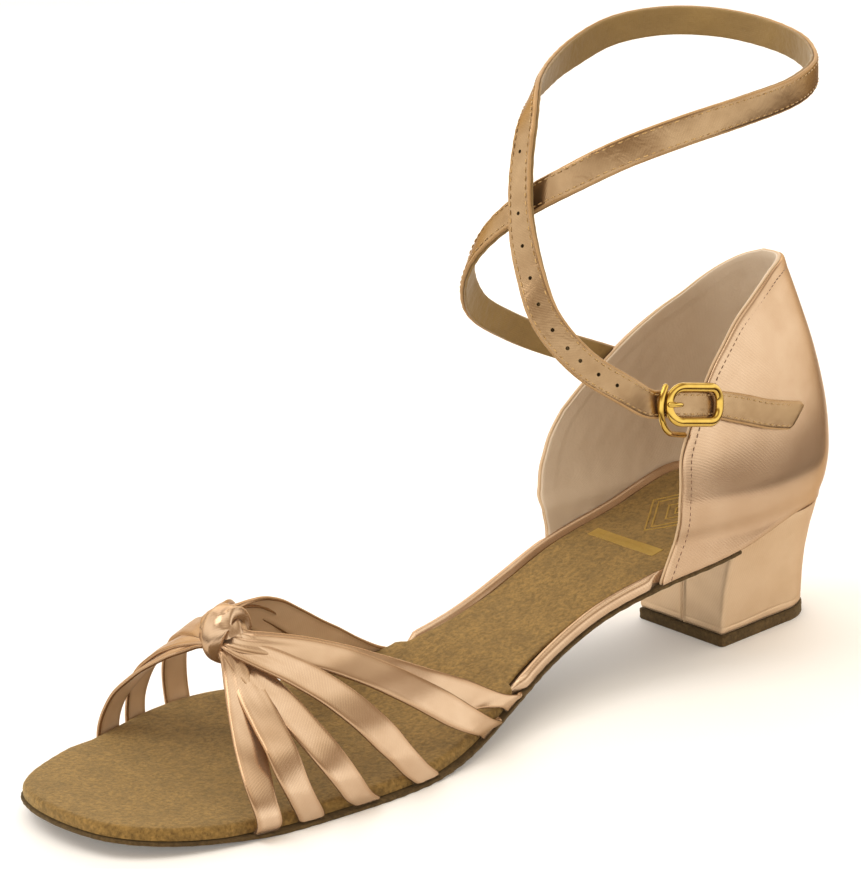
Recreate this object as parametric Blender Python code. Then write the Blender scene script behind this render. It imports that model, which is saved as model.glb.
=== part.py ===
"""A left latin dance sandal with a low block heel, knotted vamp straps and a crossed ankle strap.

Sizes are in millimetres in the sections below and are turned to metres when a mesh is made.
A station is the distance forward from the back of the heel, +y is the outer (left) side and
z is the height over the floor. The object's origin is under the middle of the heel.
"""
import math

import bmesh
import bpy
import numpy as np

MM = 0.001
ORIGIN_STATION = 23.5          # station of the middle of the heel's tread
GAP = 0.3                      # space left where two pieces meet

# sole unit
OUTSOLE_THICK = 1.0
INSOLE_BASE = OUTSOLE_THICK + GAP
INSOLE_TOP = 3.1               # the board under the forepart
INSOLE_FLOOR = 2.2             # the board inside the raised rim of waist and heel
SOCK_TOP = 4.2
SOCK_FLOOR = 3.1               # top of the sock inside the rim
OUTSOLE_START = 43.7           # the outsole butts against the heel breast
SOLE_END = 239.1
HEEL_CAP = 16.0                # length of the round heel and toe, where rows lie closer
TOE_CAP = 22.0
CAP_ROWS = 6
ROW_STEP = 6.0
COUNTER_TURN = (67.9, 71.0)    # stations where the counter stops covering the insole's side
RISE = (92.0, 112.0)           # the sock climbs from inside the rim to the forepart's level
FOREPART_TURN = (114.0, 117.0, 119.0, 121.0)   # satin rim ends, sock moves out, sock turns down
TOE_TURN = (205.0, 212.0)      # the sock's edge comes flush in front of the strips
EDGE_TURNS = COUNTER_TURN + RISE + FOREPART_TURN + TOE_TURN

# upper
COUNTER_WALL = 1.6
COUNTER_INSET = 0.2
INSOLE_SIDE = 0.4              # inset of the insole's satin side in the waist
SOCK_INSET = 4.2               # leaves the raised satin rim bare round the sock, waist and heel
SOCK_WRAP_INSET = 1.8          # the sock's turned-down edge behind the strips
SOCK_TOE_INSET = 0.6
STRIP_THICK = 1.2
STRIP_INSET = 0.2
STRIP_STAND = 4.2              # upright part of each strip beside the sole edge

# knot
KNOT = (186.5, 0.5, 36.2)
NECK_X = 4.6
NECK_Z = 5.0
NECK_HALF_LENGTH = 5.6
NECK_SIDES = 14
NECK_END = 0.75                # the neck narrows to this share at its two ends
WRAP_THICK = 1.8
WRAP_WIDTH = 9.0
WRAP_SIDES = 20
WRAP_UNEVEN = (0.12, 0.6)      # the loop is narrower by this share on one side, at this angle
# Section of the loop: place across it as a share of half its width, height as a share of its
# thickness.
WRAP_PROFILE = (
    (-1.0, 0.45),
    (-0.62, 1.0),
    (0.0, 1.15),
    (0.62, 1.0),
    (1.0, 0.45),
    (0.7, 0.0),
    (-0.7, 0.0),
)

# ankle strap and buckle
STRAP_WIDTH = 7.6
STRAP_OFF_WALL = 0.5           # gap to the wall it lies along
STRAP_NARROW = 7.0             # width where it passes through the buckle
STRAP_THICK = 1.8
BUCKLE = (62.9, 30.4, 72.4)
BUCKLE_PITCH = math.radians(12.0)
BUCKLE_LEAN = math.radians(9.0)
BAR = 1.7
FRAME_LENGTH = 17.6
FRAME_HEIGHT = 9.6
FRAME_CORNER = 3.8
FRAME_BOW = 1.0                # its middle stands out from its two bars
FRAME_CORNER_STEPS = 6
BAR_SIDES = 8
# Middle lines of hook and prong from the buckle's middle: towards the tail, up, out.
HOOK_ROUTE = (
    (-9.8, 4.4, -0.4),
    (-11.0, 2.0, -0.2),
    (-11.3, 0.0, -0.2),
    (-11.0, -2.4, -0.4),
    (-9.6, -5.2, -0.8),
    (-6.8, -6.9, -2.0),
    (-2.6, -7.5, -4.2),
    (2.6, -7.8, -6.2),
)
HOOK_STEPS = 14
HOOK_SLIM = 0.9                # the hook's bar is thinner than the frame's
PRONG_ROUTE = (
    (-6.9, 0.0, 1.2),
    (-5.0, 0.0, 1.9),
    (-2.6, 0.0, 1.9),
    (-0.9, 0.0, 1.6),
)
PRONG_RADII = (0.75, 0.7, 0.6, 0.35)

# Sole outline: station, outer half, inner half. The two tips close it.
OUTLINE_HEEL_TIP = (-0.1, 1.7)
OUTLINE_TOE_TIP = (239.1, -1.0)
OUTLINE = (
    (2.0, 12.0, -9.7),
    (10.0, 20.3, -20.7),
    (20.0, 24.2, -24.7),
    (34.0, 26.6, -24.7),
    (50.0, 26.2, -23.6),
    (68.0, 22.6, -23.0),
    (86.0, 19.5, -21.0),
    (104.0, 21.8, -20.1),
    (120.0, 27.1, -23.1),
    (135.0, 32.6, -29.4),
    (150.0, 36.8, -37.2),
    (165.0, 38.6, -43.4),
    (180.0, 38.4, -43.5),
    (195.0, 37.3, -39.4),
    (210.0, 34.6, -33.5),
    (222.0, 30.6, -27.0),
    (231.0, 24.6, -20.3),
    (236.5, 16.5, -13.5),
)

# Underside of the sole: station, height over the floor.
UNDERSIDE = (
    (-2.0, 32.4),
    (20.0, 32.4),
    (45.0, 27.5),
    (70.0, 22.3),
    (95.0, 14.5),
    (120.0, 6.9),
    (145.0, 1.0),
    (158.0, 0.0),
    (196.0, 0.0),
    (215.0, 1.4),
    (241.0, 4.6),
)

# Insole edge, bottom to top: inset and height in the waist, the same in the forepart.
INSOLE_EDGE = (
    (0.8, INSOLE_BASE, 3.2, INSOLE_BASE),
    (0.4, 1.6, 2.9, 1.6),
    (0.4, 2.5, 2.9, 2.3),
    (0.8, 2.8, 2.9, 2.7),
    (1.2, 3.6, 3.0, 2.9),
    (2.1, 4.4, 3.3, INSOLE_TOP),
    (2.9, 4.1, 3.6, INSOLE_TOP),
    (3.9, INSOLE_FLOOR, 4.2, INSOLE_TOP),
)

# Sock edge, from under it round to its top: inset past its edge and drop below its top in the
# waist, the same in the forepart, where the sock turns down over the board.
SOCK_EDGE = (
    (0.8, 0.6, 0.8, 0.8),
    (0.75, 0.6, 0.75, SOCK_TOP - INSOLE_BASE),
    (0.0, 0.6, 0.0, SOCK_TOP - INSOLE_BASE),
    (0.0, 0.25, 0.0, 1.2),
    (0.1, 0.1, 0.35, 0.4),
    (0.4, 0.0, 1.1, 0.0),
)

# Heel block: height, back station, back radius, breast station, half width at breast, mid y.
HEEL = (
    (0.0, 4.4, 13.0, 43.2, 15.6, 2.6),
    (8.0, 4.2, 14.2, 43.0, 16.3, 2.4),
    (17.0, 3.6, 16.4, 42.8, 18.0, 2.0),
    (25.0, 2.4, 19.4, 43.0, 20.8, 1.6),
    (33.0, 0.7, 23.2, 43.3, 24.9, 1.2),
)
HEEL_TOP = 28.0                # about where the block meets the sloping seat
HEEL_LEVELS = 8
HEEL_ARC = 14                  # faces round the back
HEEL_SIDE = 3                  # points along each straight side
TOP_LIFT_THICK = 3.0
TOP_LIFT_EDGE = 0.3            # the lift stands out past the block
TOP_LIFT_BEVEL = (0.4, 0.5)    # how far its tread edge is taken in, and up to which height

# Counter sections: height, back station, width as a share of the heel's outline.
COUNTER = (
    (20.0, 0.0, 1.00),
    (33.7, 0.0, 1.00),
    (39.0, -1.6, 1.07),
    (47.0, -2.6, 1.12),
    (57.0, -2.0, 1.11),
    (72.0, 1.0, 1.01),
    (87.0, 6.0, 0.85),
    (98.0, 10.0, 0.70),
)
# Free edge of the counter from its front foot to the middle of the back: station, height.
EDGE_OUTER = (
    (67.0, 24.7),
    (65.6, 28.0),
    (63.2, 33.6),
    (63.5, 40.4),
    (63.8, 48.8),
    (63.2, 57.9),
    (60.3, 64.3),
    (56.8, 70.1),
    (51.0, 77.7),
    (46.4, 82.2),
    (39.9, 87.8),
    (33.1, 91.7),
    (26.7, 94.8),
    (20.9, 97.0),
    (15.0, 98.0),
    (9.9, 97.5),
)
EDGE_INNER = (
    (67.0, 24.7),
    (67.1, 29.3),
    (68.2, 35.0),
    (67.3, 40.5),
    (65.4, 46.2),
    (62.7, 52.6),
    (58.3, 58.7),
    (51.5, 64.4),
    (42.1, 71.0),
    (34.4, 75.9),
    (27.0, 79.8),
    (19.9, 83.7),
    (15.4, 87.8),
    (12.4, 91.6),
    (10.4, 94.8),
    (9.9, 97.5),
)
EDGE_CORNER = 6                # row of both edges where the upright front turns into the topline
COUNTER_LIP = 0.5              # the rounded lip stands this far past the wall's free edge
HEEL_LINE_END = 90.0
SEAM_REACH = 0.5               # the wall's direction is read this far to each side of a point
COUNTER_COLUMNS = 15
COUNTER_ROWS = 11

# Vamp strips: side, front and rear station at the sole edge, place across the neck (front of it
# positive), height in the neck, reach and fall of the slope that leaves it, then how far before
# the sole edge the strip arrives, how far it stands out there and how high above.
STRIPS = (
    (1, 204.5, 197.5, 2.2, -2.9, 3.0, -22.0, 2.4, 1.6, 13.7),
    (1, 193.2, 186.4, 0.2, 0.2, 3.3, -12.4, 0.0, 0.8, 5.0),
    (1, 179.2, 171.6, -0.3, 0.6, 3.0, -1.6, 10.6, 0.6, 4.2),
    (1, 160.2, 152.0, -0.9, 1.3, 20.9, -10.9, 7.0, 0.1, 3.0),
    (1, 133.8, 125.6, -1.6, 2.1, 32.0, -10.6, 17.7, 0.2, 3.0),
    (1, 122.8, 115.0, -2.2, 2.8, 21.1, -4.3, 26.0, 1.9, 3.0),
    (-1, 200.4, 192.4, 1.7, -3.4, 18.8, -8.6, 1.4, 1.0, 10.9),
    (-1, 189.4, 182.6, 1.4, -2.5, 18.8, -5.8, 2.4, 2.8, 13.8),
    (-1, 175.6, 168.2, 0.3, -1.2, 20.0, -3.0, 0.0, 4.0, 17.0),
    (-1, 158.5, 150.8, -0.5, 0.6, 15.0, 3.5, 2.0, 1.0, 14.0),
    (-1, 141.0, 133.2, -1.3, 1.8, 16.7, 0.8, 7.9, 0.1, 6.7),
    (-1, 125.0, 116.5, -2.0, 2.5, 21.9, 2.4, 26.0, 0.0, 3.1),
)
STRIP_NECK_WIDTH = 2.6
STRIP_WIDTH = 7.6
STRIP_TURN = (6.0, 20.0)       # distances from its end where a strip turns parallel to the edge
# Form of the instep under the strips: station, half width, height over the underside.
INSTEP = (
    (115.0, 27.0, 78.0),
    (145.0, 34.0, 60.0),
    (165.0, 38.0, 48.0),
    (186.0, 38.0, 38.0),
    (205.0, 36.0, 30.0),
)
NECK_ROOT = 3.0                # the strips start this far from the middle of the neck
NECK_START = 5.3               # and fan out from here
NECK_LEAVE = 1.6
STRIP_SPREAD = (1.6, 16.0)      # distances from the root where a strip starts and ends widening
STRIP_STEPS = 14

# Middle line of the ankle strap: from the inner wall of the counter round the front of the
# ankle, across its outer side, round the back and down again to the buckle.
STRAP_ROUTE = (
    (58.0, -30.2, 76.2),
    (70.0, -31.4, 82.4),
    (84.0, -28.0, 91.4),
    (91.9, -21.2, 102.0),
    (92.6, -14.1, 111.8),
    (89.2, -2.8, 121.8),
    (85.0, 9.7, 129.4),
    (75.9, 19.6, 135.9),
    (62.3, 27.4, 140.8),
    (46.6, 31.4, 143.8),
    (29.4, 30.8, 145.8),
    (14.6, 23.8, 147.9),
    (5.9, 11.7, 150.4),
    (3.3, -2.3, 152.7),
    (8.2, -16.4, 155.0),
    (19.3, -25.9, 156.0),
    (33.8, -30.7, 154.7),
    (50.0, -29.8, 150.2),
    (65.2, -21.6, 147.4),
    (77.6, -11.2, 145.6),
    (85.6, -4.4, 140.4),
    (90.0, -1.6, 129.8),
    (93.6, 2.4, 119.2),
    (96.6, 8.8, 108.3),
    (97.9, 16.0, 98.0),
    (93.4, 23.4, 87.9),
    (83.4, 28.0, 79.6),
)
STRAP_STEP = 5.0
STRAP_SLANT = 0.55             # the tail is cut off at a slant
STRAP_LOW = (70.0, 88.0)       # under and over these heights it follows the wall and the ankle
STRAP_FLAT = (52.0, 70.0)      # the wall's direction is read no further forward and no higher
STRAP_TAPER = (8.0, 18.0)      # distances from the buckle between which it narrows
# The ankle that the strap is wrapped round: height, station of its front.
ANKLE_FRONT = (
    (60.0, 112.0),
    (103.0, 97.0),
    (150.0, 76.0),
    (165.0, 72.0),
)
ANKLE_BACK = 4.0
ANKLE_HALF_WIDTH = 32.0
ANKLE_LEAN = 0.42              # the front of the strap leans back by this

# The strap's end from the buckle on: distance past the buckle's middle, stand off the bars.
STRAP_END = (
    (-13.0, -2.4),
    (-8.8, -2.3),
    (-4.4, -1.0),
    (0.0, -0.4),
    (4.4, -1.0),
    (8.8, -2.3),
)
# Places on the walls where the strap lies flat against them: station, height.
STRAP_START = (
    (32.0, 64.8),
    (38.0, 67.2),
    (44.0, 69.8),
)
STRAP_TAIL = (
    (44.0, 66.6),
    (38.0, 64.4),
    (32.0, 62.7),
    (26.5, 61.4),
)


def lookup(rows, at, column=1):
    """Smooth value of a table's column at a place in its first column, without overshoot."""
    keys = np.array([row[0] for row in rows], float)
    values = np.array([row[column] for row in rows], float)
    order = np.argsort(keys)
    keys = keys[order]
    values = values[order]
    step = np.diff(keys)
    slope = np.diff(values) / step
    bend = np.zeros(len(keys))
    mean = (step[1:] * slope[:-1] + step[:-1] * slope[1:]) / (step[1:] + step[:-1])
    limit = 3.0 * np.minimum(abs(slope[:-1]), abs(slope[1:]))
    mean = np.clip(mean, -limit, limit)
    bend[1:-1] = np.where(slope[:-1] * slope[1:] > 0.0, mean, 0.0)
    bend[0] = slope[0]
    bend[-1] = slope[-1]
    at = np.clip(at, keys[0], keys[-1])
    i = np.clip(np.searchsorted(keys, at) - 1, 0, len(step) - 1)
    t = (at - keys[i]) / step[i]
    low = values[i] * (1 + 2 * t) * (1 - t) ** 2 + bend[i] * step[i] * t * (1 - t) ** 2
    high = values[i + 1] * t * t * (3 - 2 * t) - bend[i + 1] * step[i] * t * t * (1 - t)
    return low + high


def spline(points, per_span=12):
    """Points on a smooth curve through the given points."""
    points = np.array(points, float)
    step = np.sqrt(np.linalg.norm(np.diff(points, axis=0), axis=1))[:, None]
    slope = np.diff(points, axis=0) / step
    bend = np.empty_like(points)
    bend[1:-1] = (step[1:] * slope[:-1] + step[:-1] * slope[1:]) / (step[1:] + step[:-1])
    bend[0] = slope[0]
    bend[-1] = slope[-1]
    out = []
    for i in range(len(slope)):
        for t in np.arange(per_span) / per_span:
            a = points[i] * (1 + 2 * t) * (1 - t) ** 2 + bend[i] * step[i] * t * (1 - t) ** 2
            b = points[i + 1] * t * t * (3 - 2 * t) - bend[i + 1] * step[i] * t * t * (1 - t)
            out.append(a + b)
    out.append(points[-1])
    return np.array(out)


def resample(curve, count):
    """The same curve with its points at equal distances."""
    run = np.concatenate([[0.0], np.cumsum(np.linalg.norm(np.diff(curve, axis=0), axis=1))])
    at = np.linspace(0.0, run[-1], count)
    return np.stack([np.interp(at, run, curve[:, k]) for k in range(curve.shape[1])], axis=1)


def unit(vector):
    return vector / np.maximum(np.linalg.norm(vector, axis=-1, keepdims=True), 1e-9)


def ease(value, low, high):
    """0 below low, 1 above high, and smooth between them."""
    t = np.clip((value - low) / (high - low), 0.0, 1.0)
    return t * t * (3 - 2 * t)


def underside(station):
    return lookup(UNDERSIDE, station)


def make_material(name, colour, roughness, metallic=0.0, sheen=0.0):
    material = bpy.data.materials.new(name)
    material.use_nodes = True
    shader = material.node_tree.nodes["Principled BSDF"]
    shader.inputs["Base Color"].default_value = (*colour, 1.0)
    shader.inputs["Roughness"].default_value = roughness
    shader.inputs["Metallic"].default_value = metallic
    shader.inputs["Sheen Weight"].default_value = sheen
    material.diffuse_color = (*colour, 1.0)
    return material


def make_object(name, points, faces, material, smooth_angle=35.0):
    """A closed mesh from points in millimetres, faces outwards, in triangles."""
    points = np.array(points, float) - (ORIGIN_STATION, 0.0, 0.0)
    mesh = bpy.data.meshes.new(name)
    mesh.from_pydata([tuple(p * MM) for p in points], [], faces)
    shape = bmesh.new()
    shape.from_mesh(mesh)
    bmesh.ops.remove_doubles(shape, verts=shape.verts, dist=2e-6)
    bmesh.ops.dissolve_degenerate(shape, edges=shape.edges, dist=1e-6)
    bmesh.ops.triangulate(shape, faces=shape.faces)
    bmesh.ops.recalc_face_normals(shape, faces=shape.faces)
    shape.to_mesh(mesh)
    shape.free()
    mesh.shade_smooth()
    mesh.set_sharp_from_angle(angle=math.radians(smooth_angle))
    mesh.materials.append(material)
    thing = bpy.data.objects.new(name, mesh)
    bpy.context.scene.collection.objects.link(thing)
    return thing


def ring_faces(rings, size, closed_rings=True, closed_stack=False):
    """Four-sided faces between rings of equal size, in order."""
    faces = []
    last = rings if closed_stack else rings - 1
    for r in range(last):
        for k in range(size if closed_rings else size - 1):
            a = r * size
            b = ((r + 1) % rings) * size
            n = (k + 1) % size
            faces.append((a + k, a + n, b + n, b + k))
    return faces


def loft(name, rings, material, smooth_angle=35.0):
    """A closed body through rings of points, with flat ends."""
    size = len(rings[0])
    faces = ring_faces(len(rings), size)
    faces.append(tuple(range(size)))
    start = (len(rings) - 1) * size
    faces.append(tuple(range(start, start + size)))
    return make_object(name, np.concatenate(rings), faces, material, smooth_angle)


# --- sole ---

def outline_sides(inset):
    """Outer and inner side of the sole outline, moved in by inset, as (station, y) curves."""
    outer = [OUTLINE_HEEL_TIP] + [(row[0], row[1]) for row in OUTLINE] + [OUTLINE_TOE_TIP]
    inner = [OUTLINE_TOE_TIP] + [(row[0], row[2]) for row in reversed(OUTLINE)] + [OUTLINE_HEEL_TIP]
    loop = outer + inner[1:-1]
    wrap = 3
    curve = spline(loop[-wrap:] + loop + loop[:wrap + 1], 10)
    curve = curve[wrap * 10:-wrap * 10]
    along = unit(np.gradient(curve, axis=0))
    curve = curve + np.stack([along[:, 1], -along[:, 0]], axis=1) * inset
    curve = curve[:-1]
    curve = np.roll(curve, -int(np.argmin(curve[:, 0])), axis=0)
    toe = int(np.argmax(curve[:, 0]))
    return curve[:toe + 1], np.vstack([curve[toe:], curve[:1]])[::-1]


class Outline:
    """The sole outline moved in by a fixed distance, read by station."""

    def __init__(self, inset):
        self.outer, self.inner = outline_sides(inset)
        self.start = self.outer[0, 0]
        self.end = self.outer[-1, 0]

    def y(self, station, side):
        curve = self.outer if side > 0 else self.inner
        return np.interp(station, curve[:, 0], curve[:, 1])


OUTLINES = {}


def outline_y(station, side, inset):
    """Half width at a station for an inset, read from outlines a tenth of a millimetre apart."""
    key = round(float(inset), 1)
    if key not in OUTLINES:
        OUTLINES[key] = Outline(key)
    return OUTLINES[key].y(station, side)


def sole_stations(start):
    """Rows of the sole layers, close together at the round ends and where an edge changes."""
    rows = [SOLE_END]
    if start < 0.0:
        rows += [HEEL_CAP * (1 - math.cos(math.pi / 2 * k / CAP_ROWS)) for k in range(CAP_ROWS)]
        start = HEEL_CAP
    rows += [SOLE_END - TOE_CAP * (1 - math.cos(math.pi / 2 * k / CAP_ROWS)) for k in range(CAP_ROWS)]
    middle = round((SOLE_END - TOE_CAP - start) / ROW_STEP)
    rows += list(np.linspace(start, SOLE_END - TOE_CAP, middle + 1))
    rows = [x for x in rows if all(abs(x - turn) > ROW_STEP / 2 for turn in EDGE_TURNS)]
    rows += [turn for turn in EDGE_TURNS if turn > start]
    return sorted(set(rows))


def sole_layer(name, levels, start, material):
    """A layer of the sole from (inset, height) loops, bottom to top. Both may vary by station."""
    rows = sole_stations(start)
    rings = []
    for inset, height in levels:
        outer = []
        inner = []
        for x in rows:
            place = x - inset(SOLE_END) * float(ease(x, SOLE_END - TOE_CAP, SOLE_END))
            if start < 0.0:
                place += (inset(0.0) + OUTLINE_HEEL_TIP[0]) * float(1.0 - ease(x, 0.0, HEEL_CAP))
            z = underside(place) + height(x)
            outer.append((place, outline_y(place, 1, inset(x)), z))
            inner.append((place, outline_y(place, -1, inset(x)), z))
        rings.append(np.array(outer + inner[::-1]))
    size = len(rings[0])
    faces = ring_faces(len(rings), size)
    for first in (0, (len(rings) - 1) * size):
        for k in range(size // 2 - 1):
            faces.append((first + k, first + k + 1, first + size - 2 - k, first + size - 1 - k))
    return make_object(name, np.concatenate(rings), faces, material, 50.0)


def fixed(value):
    return lambda station: value


def between(start, before, end, after):
    """A value that runs straight from one to the other between two stations."""
    return lambda station: float(np.interp(station, (start, end), (before, after)))


def insole_edge(waist, forepart):
    """Inset of a loop of the insole: behind the counter's wall, in the waist, in the forepart."""
    covered = max(waist, COUNTER_INSET + COUNTER_WALL + GAP)
    turns = (*COUNTER_TURN, *FOREPART_TURN[:2])
    return lambda station: float(np.interp(station, turns, (covered, waist, waist, forepart)))


def build_outsole(material):
    levels = (
        (fixed(0.5), fixed(0.0)),
        (fixed(0.0), fixed(0.25)),
        (fixed(0.0), fixed(OUTSOLE_THICK - 0.15)),
        (fixed(0.3), fixed(OUTSOLE_THICK)),
    )
    return sole_layer("outsole", levels, OUTSOLE_START, material)


def build_insole(material):
    levels = []
    for inset, height, fore_inset, fore_height in INSOLE_EDGE:
        turn = RISE if height == INSOLE_FLOOR else FOREPART_TURN[:2]
        heights = between(turn[0], height, turn[1], fore_height)
        levels.append((insole_edge(inset, fore_inset), heights))
    return sole_layer("insole", levels, -1.0, material)


def sock_top(station):
    return float(np.interp(station, RISE, (SOCK_FLOOR, SOCK_TOP)))


def sock_edge(station):
    """Inset of the sock's edge: inside the rim, then over the edge of the forepart, then the toe."""
    turns = (*FOREPART_TURN[1:3], *TOE_TURN)
    insets = (SOCK_INSET, SOCK_WRAP_INSET, SOCK_WRAP_INSET, SOCK_TOE_INSET)
    return float(np.interp(station, turns, insets))


def build_sock(material):
    levels = []
    for move, drop, fore_move, fore_drop in SOCK_EDGE:
        step = between(FOREPART_TURN[2], move, FOREPART_TURN[3], fore_move)
        fall = between(FOREPART_TURN[2], drop, FOREPART_TURN[3], fore_drop)
        levels.append((lambda x, step=step: sock_edge(x) + step(x),
                       lambda x, fall=fall: sock_top(x) - fall(x)))
    return sole_layer("sock", levels, -1.0, material)


# --- heel ---

def heel_section(height, grow=0.0):
    """The D of the heel at a height: round back, straight sides and a flat breast."""
    back = lookup(HEEL, height, 1) - grow
    radius = lookup(HEEL, height, 2) + grow
    breast = lookup(HEEL, height, 3) + grow
    half = lookup(HEEL, height, 4) + grow
    middle = lookup(HEEL, height, 5)
    points = [(breast, middle - half)]
    for k in range(1, HEEL_SIDE + 1):
        t = k / (HEEL_SIDE + 1)
        points.append((breast + (back + radius - breast) * t, middle - half + (half - radius) * t))
    for k in range(HEEL_ARC + 1):
        a = -math.pi / 2 + math.pi * k / HEEL_ARC
        points.append((back + radius - radius * math.cos(a), middle + radius * math.sin(a)))
    for k in range(HEEL_SIDE, 0, -1):
        t = k / (HEEL_SIDE + 1)
        points.append((breast + (back + radius - breast) * t, middle + half - (half - radius) * t))
    points.append((breast, middle + half))
    return points


def heel_seat(station):
    """Top of the heel block, just under the insole."""
    return underside(station) + INSOLE_BASE - GAP


def build_heel(material):
    base = TOP_LIFT_THICK + GAP
    rings = []
    for level in np.linspace(0.0, 1.0, HEEL_LEVELS):
        ring = []
        for index in range(len(heel_section(0.0))):
            z = base + level * (HEEL_TOP - base)
            for _ in range(3):
                x, y = heel_section(z)[index]
                z = base + level * (heel_seat(x) - base)
            ring.append((x, y, z))
        rings.append(np.array(ring))
    return loft("heel_block", rings, material, 40.0)


def build_top_lift(material):
    bevel, bevel_height = TOP_LIFT_BEVEL
    profile = ((0.0, TOP_LIFT_EDGE - bevel), (bevel_height, TOP_LIFT_EDGE), (TOP_LIFT_THICK, TOP_LIFT_EDGE))
    rings = []
    for height, grow in profile:
        rings.append(np.array([(x, y, height) for x, y in heel_section(TOP_LIFT_THICK, grow)]))
    return loft("top_lift", rings, material, 40.0)


# --- counter ---

def heel_line(side):
    """The seat's outline from the middle of the back forward, as points (station, y)."""
    back = OUTLINE_HEEL_TIP[0] + COUNTER_INSET
    at = np.linspace(0.0, 1.0, 90) ** 2 * HEEL_LINE_END
    y = np.array([outline_y(max(x, back), side, COUNTER_INSET) for x in at])
    at = at + back * (1.0 - ease(at, 0.0, 6.0))
    y[0] = OUTLINE_HEEL_TIP[1]
    return np.stack([at, y], axis=1)


class Wall:
    """One half of the counter, by distance round from the back seam and height."""

    def __init__(self, side, edge):
        self.side = side
        self.line = heel_line(side)
        steps = np.linalg.norm(np.diff(self.line, axis=0), axis=1)
        self.run = np.concatenate([[0.0], np.cumsum(steps)])
        self.edge = [(self.seat_round(station, height), height) for station, height in edge]
        self.edge[-1] = (0.0, edge[-1][1])

    def round(self, station):
        """Distance round the seat from the back seam to a station."""
        return float(np.interp(station, self.line[:, 0], self.run))

    def seat_round(self, station, height):
        """The same for a point of the wall at a true station and height."""
        return self.round((station - lookup(COUNTER, height, 1)) / lookup(COUNTER, height, 2))

    def foot(self, around):
        """Station and y on the seat's outline at a distance round from the back seam."""
        return (float(np.interp(around, self.run, self.line[:, 0])),
                float(np.interp(around, self.run, self.line[:, 1])))

    def point(self, around, height, out=0.0):
        """A point of the wall's outer face, or one standing off it."""
        x, y = self.foot(around)
        share = lookup(COUNTER, height, 2)
        back = lookup(COUNTER, height, 1)
        middle = OUTLINE_HEEL_TIP[1]
        x0, y0 = self.foot(max(around - SEAM_REACH, 0.0))
        x1, y1 = self.foot(around + SEAM_REACH)
        out_x, out_y = unit(np.array((-(y1 - y0), x1 - x0))) * self.side
        if around < SEAM_REACH:
            out_x, out_y = -1.0, 0.0
        return np.array((back + x * share + out_x * out,
                         middle + (y - middle) * share + out_y * out, height))

    def at_station(self, station, height, out=0.0):
        """The wall's point at a true station and height."""
        return self.point(self.seat_round(station, height), height, out)

    def outward(self, station, height):
        """Direction straight out of the wall."""
        along = self.at_station(station + 1.0, height) - self.at_station(station - 1.0, height)
        up = self.at_station(station, height + 1.0) - self.at_station(station, height - 1.0)
        return unit(np.cross(along, up)) * -self.side

    def beside(self, station, height, out):
        """A point standing off the wall's outer face."""
        return self.at_station(station, height) + self.outward(station, height) * out

    def bottom(self, around):
        x, _ = self.foot(around)
        return underside(x) + INSOLE_BASE

    def grid(self):
        """Rows of (distance round, height) from the back seam to the free edge."""
        front = resample(spline(self.edge[:EDGE_CORNER + 1]), COUNTER_ROWS + 1)
        top = resample(spline(self.edge[EDGE_CORNER:]), COUNTER_COLUMNS + 1)[::-1]
        end = self.edge[0][0]
        front[0, 1] = self.bottom(end)
        back_foot = self.bottom(0.0)
        columns = []
        for i in range(COUNTER_COLUMNS + 1):
            c = i / COUNTER_COLUMNS
            foot = np.array((c * end, self.bottom(c * end)))
            column = []
            for j in range(COUNTER_ROWS + 1):
                v = j / COUNTER_ROWS
                seam = np.array((0.0, back_foot + (top[0, 1] - back_foot) * v))
                across = (1 - c) * seam + c * front[j]
                up = (1 - v) * foot + v * top[i]
                corners = ((1 - c) * (1 - v) * np.array((0.0, back_foot)) + c * (1 - v) * front[0]
                           + (1 - c) * v * top[0] + c * v * front[-1])
                column.append(across + up - corners)
            columns.append(column)
        return columns


def build_counter(material, outer, inner):
    """The hollow heel counter: two halves of the wall joined at the back seam."""
    columns = []
    for wall, cells in ((inner, inner.grid()[:0:-1]), (outer, outer.grid())):
        for column in cells:
            face = [wall.point(around, height) for around, height in column]
            lining = [wall.point(around, height, -COUNTER_WALL) for around, height in column]
            columns.append((face, lining))
    rows = COUNTER_ROWS + 1
    face = np.array([column[0] for column in columns])
    lining = np.array([column[1] for column in columns])
    last = len(columns) - 1
    lip = 0.5 * (face + lining)
    lip[:, -1] += unit(face[:, -1] - face[:, -2]) * COUNTER_LIP
    lip[0, 1:] += unit(face[0, 1:] - face[1, 1:]) * COUNTER_LIP
    lip[last, 1:] += unit(face[last, 1:] - face[last - 1, 1:]) * COUNTER_LIP
    border = [(0, j) for j in range(rows)] + [(i, rows - 1) for i in range(1, last)]
    border += [(last, j) for j in range(rows - 1, -1, -1)]
    points = np.concatenate([face.reshape(-1, 3), lining.reshape(-1, 3),
                             np.array([lip[i, j] for i, j in border])])
    count = len(columns) * rows
    faces = []
    for i in range(last):
        for j in range(rows - 1):
            a = i * rows + j
            b = a + rows
            faces.append((a, b, b + 1, a + 1))
            faces.append((count + a, count + a + 1, count + b + 1, count + b))
        a = i * rows
        faces.append((a, count + a, count + a + rows, a + rows))
    for k in range(len(border) - 1):
        a = border[k][0] * rows + border[k][1]
        b = border[k + 1][0] * rows + border[k + 1][1]
        m = 2 * count + k
        faces.append((a, m, m + 1, b))
        faces.append((count + a, count + b, m + 1, m))
    for a, m in ((0, 2 * count), (last * rows, 2 * count + len(border) - 1)):
        faces.append((a, count + a, m))
    return make_object("counter", points, faces, material, 50.0)


# --- straps ---

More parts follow.
